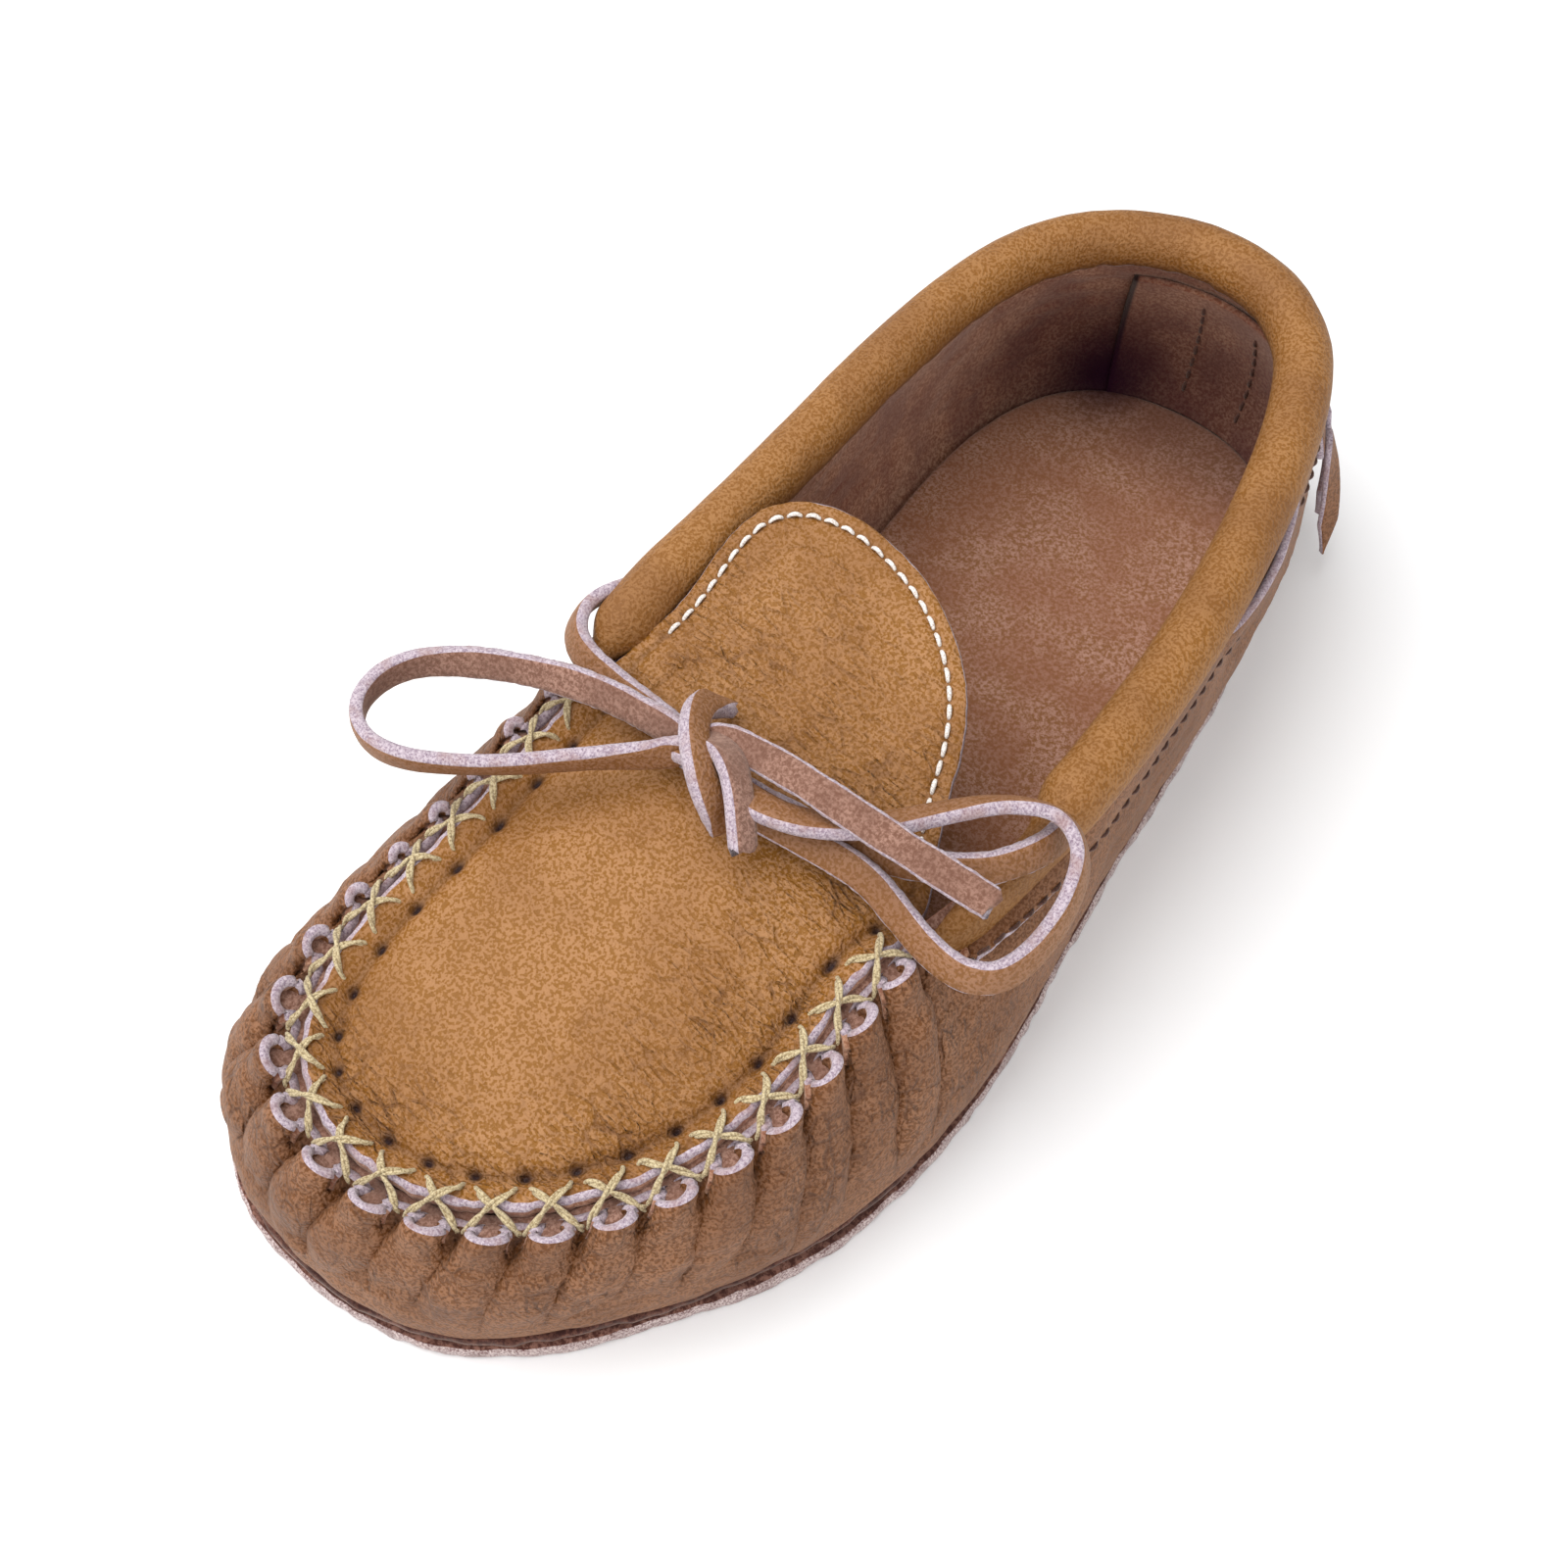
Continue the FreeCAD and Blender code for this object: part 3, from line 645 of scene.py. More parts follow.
def add_ribbon(bundle, line, faces, width, thickness, seed, ragged=(0.0, 0.0)):
    """Flat thong along a line: grain face, flesh face and pale cut edges. Width and thickness
    are for each point or for all, and the ends may be ragged."""
    line = np.asarray(line, float)
    along = unit(np.gradient(line, axis=0))
    out = unit(faces - along * np.sum(faces * along, axis=1, keepdims=True))
    across = np.cross(along, out)
    count = len(line)
    half_w = (np.broadcast_to(width, (count,)) / 2)[:, None]
    half_t = (np.broadcast_to(thickness, (count,)) / 2)[:, None]
    spots = [(-0.86, 0.9), (-0.5, 1.0), (0, 1.06), (0.5, 1.0), (0.86, 0.9),
             (0.97, 0.55), (1.0, 0.0), (0.97, -0.55),
             (0.86, -0.9), (0.5, -1.0), (0, -1.02), (-0.5, -1.0), (-0.86, -0.9),
             (-0.97, -0.55), (-1.0, 0.0), (-0.97, 0.55)]
    kinds = [0, 0, 0, 0, 2, 2, 2, 2, 1, 1, 1, 1, 2, 2, 2, 2]
    skin = []
    for w, t in spots:
        wander = noise(line / MM + 11 * seed, 5.0, seed)[:, None] * 0.05
        fuzz = noise(line / MM + np.array([w, t, 0]) * 3, 0.8, seed + 1)[:, None]
        fuzz = fuzz * (0.05 if abs(w) > 0.9 else 0.015)
        skin.append(line + across * half_w * (w * (1 + wander + fuzz))
                    + out * half_t * t * (1 + fuzz))
    skin = np.stack(skin, axis=1)
    for end, depth in ((0, ragged[0]), (-1, ragged[1])):
        if depth:
            jag = noise(skin[end] / MM, 0.9, seed + 5)[:, None]
            skin[end] += along[end] * depth * jag
    bundle.add(skin, capped_faces(count, len(spots)), [*np.tile(kinds, count - 1), 2, 2])


def lay_thong(name, route, nodes, seed):
    """One cord: a flat thong along its route's smooth line."""
    line, faces = smooth_route(route)
    length = float(distances(line)[-1])
    line, faces = resample(line, int(length / POINT_STEP), faces)
    bundle = Bundle()
    add_ribbon(bundle, line, unit(faces), LACE_WIDTH, LACE_THICKNESS, seed, (0.0, 0.0020))
    piece = bundle.piece(name, LACE_FINISHES, "lace_leather", "shoe", nodes, 1.0)


def build_thong():
    bundle = Bundle()
    line, faces = smooth_route(KNOT_BAND_ROUTE)
    line, faces = resample(line, 50, faces)
    add_ribbon(bundle, line, unit(faces), LACE_WIDTH * 0.92, LACE_THICKNESS * 1.25, 31,
               (0.0015, 0.0))
    band = bundle.piece("knot_band", LACE_FINISHES, "lace_leather", "shoe", ["lace_knot"], 1.0)
    lay_thong("thong_left", LEFT_ROUTE,
              ["lace_left_strand", "lace_left_loop", "lace_short_tail"], 21)
    lay_thong("thong_right", RIGHT_ROUTE,
              ["lace_right_strand", "lace_right_loop", "lace_long_tail"], 22)


# --- outlines shared with the CAD source, in millimetres

SOLE_OUTLINE = [
    (-13.5, 131.5), (6, 127.5), (20, 112), (29.5, 87), (37.5, 53), (46.5, 10), (55.5, -30),
    (54.5, -70), (40.5, -104), (18.5, -129.5),
    (-9.5, -137.5), (-30.5, -134.5), (-48, -120.5), (-55.8, -98), (-56.3, -68), (-51, -23),
    (-46.5, 17), (-50, 60), (-52.5, 92), (-42, 120)]
SOLE_TOE = 10
TOP_EDGE = [
    (-11, 124, 55), (7.5, 118, 54.5), (17, 105, 54), (29.5, 75, 53), (38.5, 33, 51),
    (43, -3, 49), (41.5, -25, 48.5), (39.5, -44, 46), (41.5, -66, 41.5), (36.5, -92, 36),
    (22.5, -112, 32),
    (-4, -124, 30), (-28, -118, 31), (-38.5, -97, 35), (-39.5, -70, 41), (-41, -44, 46),
    (-39.5, -25, 48.5), (-40, -8, 50), (-42.5, 15, 51), (-48, 49, 52), (-49.5, 80, 53),
    (-47, 100, 53.5), (-35.5, 116, 54)]
TOP_TOE = 11
COLLAR_LINE = [
    (-42.3, -17, 54.5), (-43.2, 3, 55.5), (-45.3, 27, 56.3), (-48.4, 54, 57.2),
    (-49.5, 78, 58), (-46.5, 99, 58.6), (-36.5, 114.5, 59.2), (-21.5, 122.5, 59.6),
    (-5, 123.3, 59.8), (9.5, 115.5, 59.4), (18.5, 101.5, 58.8), (27, 80, 58.1),
    (34.5, 54, 57.2), (40, 26, 56), (43, -10, 54.2)]
TONGUE_OUTLINE = [
    (-35.8, -12), (-37.3, 0), (-36, 8), (-30.5, 14.5), (-20, 17.5), (-6, 16.5), (6.5, 11.5),
    (16.5, 3.8), (23, -5.5), (27.5, -14.5)]

WALL_INSET = 3.6
TOE_BULGE = 3.2
HEEL_BULGE = 5.6
UPPER_THICKNESS = 2.0
RING_RADIUS = 2.9
RING_SHARE = 0.31
RING_TURN = 156
FOLD_DEPTH = 2.6
FOLD_BELLY = 1.3
FOLD_PROUD = 1.6
FOOT_SWELL = 0.9
HEEL_HOLLOW = np.array([-37.0, 122.0, 14.0])
RIM_LIFT = 1.9
SOLE_TOP = top_of("midsole_rand")
INSOLE_TOP = top_of("insole")

NUDGE = 0.004
SHOE_MIDDLE = np.array([-5.0, 0, 30])
HEEL_MIDDLE = np.array([-8.0, 80, 30])

foot_ring = Ring([(x, y, SOLE_TOP) for x, y in inset_outline(SOLE_OUTLINE, WALL_INSET)], SOLE_TOE)
top_ring = Ring(TOP_EDGE, TOP_TOE)

PLEAT_PITCH = 0.0345
PLEATS = 24


def pleat_phase(fraction):
    """Whole numbers at the crests of the gathered wall."""
    return (fraction - 1) / PLEAT_PITCH - 0.5


def gathered(fraction):
    """1 where the wall is gathered to the plug, 0 behind."""
    reach = (PLEATS / 2 - 0.4) * PLEAT_PITCH
    return smooth((reach - np.abs(fraction - 1)) / (0.7 * PLEAT_PITCH))


def wall_face(fraction, height):
    """Point of the wall's outer face: height 0 at the sole and 1 at the top edge."""
    fraction = np.asarray(fraction, float)
    height = np.asarray(height, float)[..., None]
    low = foot_ring.at(fraction)
    high = top_ring.at(fraction)
    out = sideways(unit(foot_ring.at(fraction + NUDGE) - low))
    lean = height ** 1.6
    fullness = TOE_BULGE + (HEEL_BULGE - TOE_BULGE) * np.abs(1 - fraction % 2)[..., None]
    place = low + (high - low) * np.concatenate([lean, lean, height], axis=-1)
    return place + out * 4 * height * (1 - height) * fullness


def seam_frame(fraction):
    """Place on the top edge and the level direction out of the shoe."""
    along = unit(top_ring.at(fraction + NUDGE) - top_ring.at(fraction - NUDGE))
    return top_ring.at(fraction), sideways(along)


def wall_frame(fraction, height):
    """Place, outward normal and direction along the wall at given fractions and heights."""
    place = wall_face(fraction, height)
    along = wall_face(fraction + NUDGE, height) - wall_face(fraction - NUDGE, height)
    up = (wall_face(fraction, np.minimum(height + 0.02, 1.0))
          - wall_face(fraction, np.maximum(height - 0.02, 0.0)))
    return place, unit(np.cross(up, along)) * -1, unit(along)


def curled_edge(phase, pitch, radius):
    """Path of the wall's cut edge in plan: a nearly closed ring at each pleat and a straight
    run between two rings. Returns the move along the seam and the move outwards."""
    u = phase - np.round(phase)
    share, wide = RING_SHARE, math.radians(RING_TURN)
    angle = np.clip(u / share, -1, 1) * wide
    ring_x = radius * np.sin(angle)
    ring_y = radius * (np.cos(angle) - math.cos(wide))
    rest = np.clip((np.abs(u) - share) / (0.5 - share), 0, 1)
    neck = radius * math.sin(wide)
    run_x = np.sign(u) * (neck + rest * (pitch / 2 - neck))
    inside = np.abs(u) <= share
    x = np.where(inside, ring_x, run_x) - u * pitch
    return x, np.where(inside, ring_y, -0.6 * np.sin(np.pi * rest / 2)) + 0.3


def build_wall():
    """Wrap-around wall: gathered into pleats along the plug, smooth behind."""
    reach = (PLEATS / 2 + 1) * PLEAT_PITCH
    front = np.arange(1 - reach, 1 + reach, PLEAT_PITCH / 32)
    back = np.linspace(front[-1], front[0] + 2, 260)[1:-1]
    fraction = np.concatenate([front, back])
    height = np.concatenate([np.linspace(0, 0.8, 46), np.linspace(0.8, 1.0, 24)[1:]])
    f, h = np.meshgrid(fraction, height)
    place, normal, along = wall_frame(f, h)
    normal = turned(normal, place - SHOE_MIDDLE)
    phase = pleat_phase(f)
    draws = np.random.default_rng(4)
    ends = draws.uniform(0.02, 0.50, PLEATS + 8)
    strengths = draws.uniform(0.7, 1.25, PLEATS + 8)
    index = phase + PLEATS / 2 + 3.5
    low_end = np.interp(index, np.arange(len(ends)), ends)
    strength = np.interp(index, np.arange(len(ends)), strengths)
    window = gathered(f)
    rise = np.clip((h - low_end) / (0.88 - low_end), 0, 1) ** 0.9 * window
    drift = 0.22 * noise(np.stack([f * 60, h * 3, f * 0], axis=-1), 1.0, 8) * (1 - h)
    turn = math.pi * (phase + drift)
    ahead = wall_face(f + NUDGE, h) - wall_face(f - NUDGE, h)
    pitch_mm = np.linalg.norm(ahead, axis=-1) / (2 * NUDGE) * PLEAT_PITCH
    rim = smooth((h - 0.86) / 0.12)
    side = 1 - 0.45 * smooth((f % 2 - 1.12) / 0.1) * smooth((1.9 - f % 2) / 0.2)
    depth = (FOLD_DEPTH + FOLD_BELLY * np.sin(np.pi * h ** 1.6)) * side
    fold = 2 * np.abs(np.cos(turn)) ** 0.7 - 1
    tube_swell = FOLD_PROUD * side * rise + depth * rise * strength * fold
    tube_shift = 0.14 * pitch_mm * np.sin(2 * turn) * smooth(rise * 1.6)
    curl_shift, curl_swell = curled_edge(phase, pitch_mm, RING_RADIUS * side)
    swell = tube_swell * (1 - rim * window) + curl_swell * rim * window
    shift = tube_shift * (1 - rim) + curl_shift * rim * window
    lateral = smooth((0.9 - f % 2) / 0.15)
    full = FOOT_SWELL * (1 + 0.5 * lateral) * smooth(h / 0.1) * (1 - smooth((h - 0.1) / 0.5))
    tuck = -1.0 * (1 - smooth(h / 0.05))
    loose = (0.7 * noise(place, 16.0, 5) + 0.3 * noise(place, 5.0, 6)) * smooth(h / 0.1)
    slack = 0.5 * np.abs(noise(place * [1.0, 1.0, 2.2], 7.0, 9)) * smooth(h / 0.2) * (1 - rim)
    run = np.stack([f * 290 / 3.2, h * 4.0 + 0.3 * noise(place, 6.0, 3), f * 0], axis=-1)
    pinch = 0.9 * np.abs(noise(run, 1.0, 11)) * smooth((h - 0.35) / 0.3) * (1 - rim) * window
    grid = place + normal * (swell + full + tuck + loose * (1 - 0.7 * rim) - slack - pinch
                             - UPPER_THICKNESS / 2)[..., None]
    grid = grid + along * shift[..., None] + UP * (RIM_LIFT * rim * window)[..., None]
    # Painted shade: the pleats' valleys are darkened, and the foot of the wall where it meets the
    # sole.
    valley = smooth((0.34 - np.abs(np.cos(turn))) / 0.34) * rise ** 0.6 * (1 - 0.6 * rim)
    foot = 1 - smooth(h / 0.06)
    shade = np.clip(1.05 * valley + 0.8 * foot, 0, 1)
    outwards = unit(turned(normals_of(grid, wrap_columns=True), normal) + normal * 0.15)
    sheet("upper_wall", GRAIN_SHEET, "upper_leather", ["wrap_upper"], grid, outwards,
          UPPER_THICKNESS, {"crinkle": wall_crinkle, "worn": heel_wear_and_shade}, wrap_columns=True,
          rough=0.25, seed=2, shade=shade)
    level = int(np.argmin(np.abs(height - 0.935)))
    build_seam_filler(fraction[:len(front)], grid[level, :len(front)])


def wall_crinkle(p):
    """Most wrinkled under the gathered edge, and hardly behind."""
    front = smooth((-10 - p[:, 1]) / 30)
    return 0.15 + 0.6 * front * smooth((p[:, 2] - 8) / 14) * (0.7 + 0.5 * noise(p, 9.0, 17))


def heel_wear_and_shade(p):
    """Where the heel's hollow is darkened towards the back and bottom: partly wear, partly painted
    shade of the hollow.
    """
    far = np.linalg.norm((p - HEEL_HOLLOW) / [1.0, 1.0, 0.9], axis=1)
    soft = 0.6 * smooth((p[:, 1] - 76) / 34) * smooth((52 - p[:, 2]) / 32)
    return np.maximum(soft, np.exp(-(far / 24) ** 2))


def footbed_wear_and_shade(p):
    """Darker towards the heel and in a patch where the heel rubs: partly wear, partly painted shade
    of the heel's hollow.
    """
    far = np.linalg.norm((p - HEEL_HOLLOW)[:, :2], axis=1)
    return np.maximum(0.35 * smooth((p[:, 1] - 96) / 24), 0.9 * np.exp(-(far / 13) ** 2))


def instep_crinkle(p):
    """Most wrinkled at the front and lateral side of the plug and under the knot."""
    lateral = smooth((p[:, 0] - 2) / 24) * smooth((-12 - p[:, 1]) / 20)
    front = smooth((-96 - p[:, 1]) / 18)
    flex = 0.75 * np.exp(-((p[:, 1] + 14) / 22) ** 2)
    amount = np.maximum(np.maximum(lateral, front), flex)
    return np.clip(0.10 + 0.85 * amount * (0.75 + 0.45 * noise(p, 8.0, 18)), 0, 1)


def build_seam_filler(fraction, outer):
    """Suede packed between the plug's turned-up edge and the pleats."""
    place, out = seam_frame(fraction)
    out = unit(out)
    inner = place - out * (RIDGE_INSET + 0.3) + UP * 0.6
    rows = [inner * (1 - t) + outer * t + UP * (0.5 * math.sin(math.pi * t))
            for t in np.linspace(0, 1, 7)]
    grid = np.stack(rows)
    grid = grid + UP * (0.3 * noise(grid, 1.6, 19))[..., None]
    sheet("seam_filler", ("lace_flesh", "lining", "lining"), "lining_suede", (), grid,
          np.broadcast_to(UP, grid.shape), 0.8, seed=20)


# --- plug and tongue, one piece of leather

PLUG_CROWN = 6.5
INSTEP_THICKNESS = 1.9
RIDGE_INSET = 2.5


def swells(p):
    """Broad unevenness of the plug and tongue."""
    return 0.3 * noise(p, 9.0, 13)


def plug_height(x, y):
    seam = 30 + 0.193 * (y + 124)
    middle = 0.5 - 6 * np.clip((-60 - y) / 60, 0, 1)
    across = np.abs(x - middle) / 40
    along = np.maximum((-75 - y) / 49, 0)
    return seam + PLUG_CROWN * (1 - np.hypot(across, along) ** 2.4)


def tongue_height(x, y):
    arch = 2.5 * ((x + 6) / 30) ** 2 * np.clip((5 - y) / 33, 0, 1)
    return 53.2 + 0.22 * (y + 28) - 0.07 * (x + 6) - arch


def instep_height(x, y):
    share = smooth((y + 46) / 24)
    return plug_height(x, y) * (1 - share) + tongue_height(x, y) * share


# Cross-sections of the piece's edge, as pairs of distance inside the outline and height above
# the piece's own surface: turned up against the wall round the plug, flat round the tongue.
LIP_TOP = [(9.6, 0), (8.6, -0.1), (7.8, -0.35), (7.1, -0.8), (6.6, -1.2), (6.2, -1.5),
           (5.8, -1.45), (5.3, -0.95), (4.7, -0.2), (4.1, 0.5), (3.5, 1.1), (2.9, 1.6),
           (2.3, 2.0), (1.8, 2.3), (1.4, 2.55)]
LIP_EDGE = [(1.1, 2.65), (0.8, 2.66), (0.5, 2.5)]
LIP_BASE = [(0.3, 2.1), (0.2, 1.2), (0.25, 0.2), (1.0, -1.1), (2.6, -2.6), (5.6, -3.4), (9.6, -2.2)]
LIP_CREASE = 6.1
FLAT_TOP = [(9.6, 0), (8.2, 0), (6.9, 0.05), (5.7, 0.1), (4.8, 0.08), (4.1, -0.05), (3.6, -0.25),
            (3.2, -0.4), (2.9, -0.4), (2.5, -0.25), (2.0, -0.05), (1.5, 0.0), (1.0, -0.05),
            (0.5, -0.2), (0.12, -0.36)]
FLAT_EDGE = [(-0.12, -0.7), (-0.2, -1.1), (-0.1, -1.5)]
FLAT_BASE = [(0.2, -1.85), (0.9, -1.95), (1.8, -1.95), (3.0, -1.95), (4.5, -1.95), (6.4, -1.95),
             (9.6, -1.9)]
STITCH_INSET = 3.05
TONGUE_STITCHES_FROM = -22
OUTLINE_POINTS = 880


def instep_outline():
    """Outline of the plug and tongue in plan, from the toe round the lateral side."""
    half = 10
    step = (PLEATS / 2 - 0.8) * PLEAT_PITCH / half
    place, out = seam_frame(1 + np.arange(-half, half + 1) * step)
    ridge = levelled(place - out * RIDGE_INSET, 0.0)
    lateral, medial = ridge[:half], ridge[half + 1:]
    tongue = [(x, y, 0.0) for x, y in TONGUE_OUTLINE[::-1]]
    tip = len(lateral) + 7
    return Ring([ridge[half], *lateral[::-1], *tongue, *medial[::-1]], tip)


def build_instep():
    ring = instep_outline()
    dense = ring.at(np.linspace(0, 2, 6001))
    run = distances(dense)
    half = OUTLINE_POINTS // 2
    middle = run[3000]
    places = np.concatenate([np.linspace(0, middle, half + 1),
                             np.linspace(middle, run[-1], half + 1)[1:-1]])
    outline = read_at(places, run, dense[:, :2])
    inward = sideways(unit(np.roll(outline, -2, axis=0) - np.roll(outline, 2, axis=0)))[:, :2]
    inward = inward * np.sign(np.sum(inward * (np.array([0.0, -50.0]) - outline)))
    fractions = np.linspace(0.5, 1.5, 4001)
    seam = top_ring.at(fractions)[:, :2]
    nearest = np.argmin(np.linalg.norm(outline[:, None] - seam[None], axis=2), axis=1)
    phase = pleat_phase(fractions[nearest])
    flat = smooth((outline[:, 1] + 40) / 16)
    lip = 1 - flat
    top_count, edge_count = len(LIP_TOP), len(LIP_EDGE)
    section_lip = np.array(LIP_TOP + LIP_EDGE + LIP_BASE)
    section_flat = np.array(FLAT_TOP + FLAT_EDGE + FLAT_BASE)
    rings, tones = [], []
    hole = np.abs((phase - np.round(phase - 0.5) - 0.5))
    for row, ((d0, z0), (d1, z1)) in enumerate(zip(section_lip, section_flat)):
        d = d0 * lip + d1 * flat
        xy = outline + inward * d[:, None]
        z = instep_height(xy[:, 0], xy[:, 1]) + z0 * lip + z1 * flat
        near = np.exp(-((d0 - LIP_CREASE) / 0.9) ** 2)
        pit = np.exp(-(hole / 0.13) ** 2)
        on_lip = np.clip(1 - d0 / 5.6, 0, 1)
        z = z + lip * (0.30 * on_lip * np.cos(2 * math.pi * phase) - 0.9 * near * pit
                       + 0.25 * near * (1 - pit))
        reach = np.exp(-((d0 - 8.2) / 1.4) ** 2)
        z = z - lip * 0.3 * reach * pit
        point = np.stack([xy[:, 0], xy[:, 1], z], axis=1)
        top = row < top_count
        uneven = 0.22 * noise(point, 2.6, 12) + swells(point)
        point[:, 2] += uneven * (1 if top else 0.3)
        if row >= top_count - 1:
            wave = 0.35 * noise(point * [1, 1, 0.2], 1.8, 14)
            point[:, :2] += inward * (wave * (0.4 + 0.6 * lip))[:, None]
        rings.append(point)
        # Painted shade: along the sunken line and in the stitch holes of the plug's lip, on the
        # tongue's curled-under edge and underside, and along the tongue's stitch groove.
        tone = lip * near * (0.30 + 0.9 * pit) if top else 0.75 * flat
        edge_line = flat * math.exp(-((d1 - STITCH_INSET) / 0.5) ** 2) * 0.25 if top else 0 * lip
        tones.append(np.clip(tone + edge_line, 0, 1))
    rings = np.stack(rings)
    kinds = [0] * (top_count - 1) + [2] * (edge_count + 1) + [1] * (len(LIP_BASE) - 1)

    def settle_top(p):
        p = levelled(p, instep_height(p[..., 0], p[..., 1]))
        p[..., 2] += 0.055 * noise(p, 2.6, 12) + swells(p) + folds(p)
        return p

    def settle_base(p):
        return levelled(p, instep_height(p[..., 0], p[..., 1]) - INSTEP_THICKNESS)

    bundle = Bundle()
    add_loaf(bundle, rings, kinds, 110, settle_top, settle_base, np.stack(tones))
    piece = bundle.piece("plug_and_tongue", ("plug", "lining", "edge"),
                         "upper_leather", None, ["plug", "tongue", "tongue_lining"],
                         crinkle=instep_crinkle)
    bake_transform(piece)
    return outline, inward


def folds(p):
    """Soft creases of the instep where it flexes under the knot and across the tongue."""
    flex = np.exp(-((p[..., 1] + 22) / 16) ** 2)
    wave = noise(p * [0.35, 1.0, 0.3], 3.4, 15)
    side = np.clip((p[..., 0] - 2) / 30, 0, 1) * np.exp(-((p[..., 1] + 55) / 26) ** 2)
    slant = noise((p @ np.array([[0.8, 0.6, 0], [-0.6, 0.8, 0], [0, 0, 1]])) * [1.0, 0.35, 0.3],
                  3.0, 16)
    return -0.6 * np.abs(wave) * flex - 0.8 * np.abs(slant) * side


# --- stitches

def add_thread(bundle, line, radius, plies=2, turns=3.0, finish=0):
    """Twisted thread along a line of points."""
    line = resample(np.asarray(line, float), 26)
    along = unit(np.gradient(line, axis=0))
    side = unit(np.cross(along, UP + 0.01))
    over = np.cross(side, along)
    angle = np.linspace(0, 2 * math.pi * turns, len(line))[:, None]
    for ply in range(plies):
        a = angle + 2 * math.pi * ply / plies
        add_tube(bundle, line + 0.5 * radius * (side * np.cos(a) + over * np.sin(a)),
                 radius * 0.62, sides=6, finish=finish)


def build_cross_stitches():
    """Waxed thread crossed over the seam between the plug and the gathered wall."""
    bundle = Bundle()
    draws = np.random.default_rng(7)
    for i in range(-PLEATS // 2 + 1, PLEATS // 2 - 1):
        for side in (-1, 1):
            def at(phase, d, lift):
                f = 1 + (i + 0.5 + phase * side) * PLEAT_PITCH
                place, out = seam_frame(f)
                spot = place - out * (RIDGE_INSET + d)
                spot[2] = instep_height(spot[0], spot[1]) if d > 0 else place[2]
                spot[2] += lift
                return spot + draws.uniform(-0.28, 0.28, 3)
            over = 0.75 if side > 0 else 0.0
            line = [at(-0.38, 3.9, -1.2), at(-0.37, 3.7, 0.4), at(-0.31, 3.0, 2.0 + over * 0.3),
                    at(-0.18, 1.7, 3.3 + over * 0.7), at(0.02, 0.2, 3.7 + over),
                    at(0.22, -1.2, 3.5 + over * 0.7), at(0.38, -2.6, 2.3 + over * 0.2),
                    at(0.47, -2.9, 0.0), at(0.50, -2.0, -2.4)]
            add_thread(bundle, spline_line(line)[0], 0.62, turns=1.6)
    bundle.piece("seam_thread", ("waxed",), "waxed_thread", "shoe",
                 ["plug_cross_stitches"])


def stitch_row(bundle, line, normals, length, pitch, radius, lift=0.15, start=0.6):
    """Machine stitches: short dashes that dip into the leather at both ends."""
    run = distances(line)
    place = start
    while place + length < run[-1]:
        spots = place + length * np.array([0.0, 0.08, 0.3, 0.5, 0.7, 0.92, 1.0])
        dips = np.array([-0.75, -0.1, 0.75, 1.0, 0.75, -0.1, -0.75]) * radius + lift
        p, n = read_at(spots, run, line), unit(read_at(spots, run, normals))
        widths = radius * np.array([0.5, 0.85, 1.0, 1.05, 1.0, 0.85, 0.5])
        add_tube(bundle, p + n * dips[:, None], widths, sides=8, flat=0.85, hint=n)
        place += pitch


def build_tongue_stitches(outline, inward):
    spot = outline + inward * STITCH_INSET
    x, y = spot[spot[:, 1] > TONGUE_STITCHES_FROM].T
    points = np.column_stack([x, y, instep_height(x, y) - 0.3])
    points[:, 2] += swells(points)
    bundle = Bundle()
    stitch_row(bundle, points, np.broadcast_to(UP, points.shape), 2.7, 3.5, 0.42, lift=0.2)
    bundle.piece("tongue_stitches", ("white",), "white_thread", "tongue",
                 ["tongue_stitching"])


# --- collar

ROLL_RADIUS = 4.9
ROLL_TURN = np.radians(np.linspace(208, -40, 13))
ROLL = ROLL_RADIUS * np.stack([np.cos(ROLL_TURN), np.sin(ROLL_TURN)], axis=1)
FLAT_FOLD = np.array([(-2.2, -10.0), (-2.2, -8.0), (-2.2, -6.0), (-2.1, -4.0), (-1.9, -2.0),
                      (-1.3, -0.2), (-0.3, 0.9), (0.8, 0.9), (1.9, 0.0), (2.6, -1.8),
                      (3.0, -3.8), (3.2, -5.8), (3.3, -7.8)])
COLLAR_ENDS = [(-40.2, -31.5, 51.3), (40.5, -31.5, 46.6)]
COLLAR_THICKNESS = 1.8
FLAT_LENGTH = 24.0
FLAT_FADE = 12.0
SLIT_REACH = 19.0


def collar_frame():
    line, _ = spline_line([COLLAR_ENDS[0], *COLLAR_LINE, COLLAR_ENDS[1]])
    line = resample(line, 640)
    along = unit(np.gradient(line, axis=0))
    out = unit(np.cross(np.broadcast_to(UP, line.shape), along))
    return line, out, np.cross(along, out)


def window_weight(line):
    """1 in the middle of the two slits where the thong shows, 0 outside them."""
    weight = np.zeros(len(line))
    for first, last in ((COLLAR_LINE[12], COLLAR_LINE[11]), (COLLAR_LINE[3], COLLAR_LINE[4])):
        middle = (np.array(first) + np.array(last)) / 2
        away = np.linalg.norm(line - middle, axis=1)
        weight = np.maximum(weight, np.clip(1 - (away / SLIT_REACH) ** 2, 0, 1) ** 0.6)
    return weight


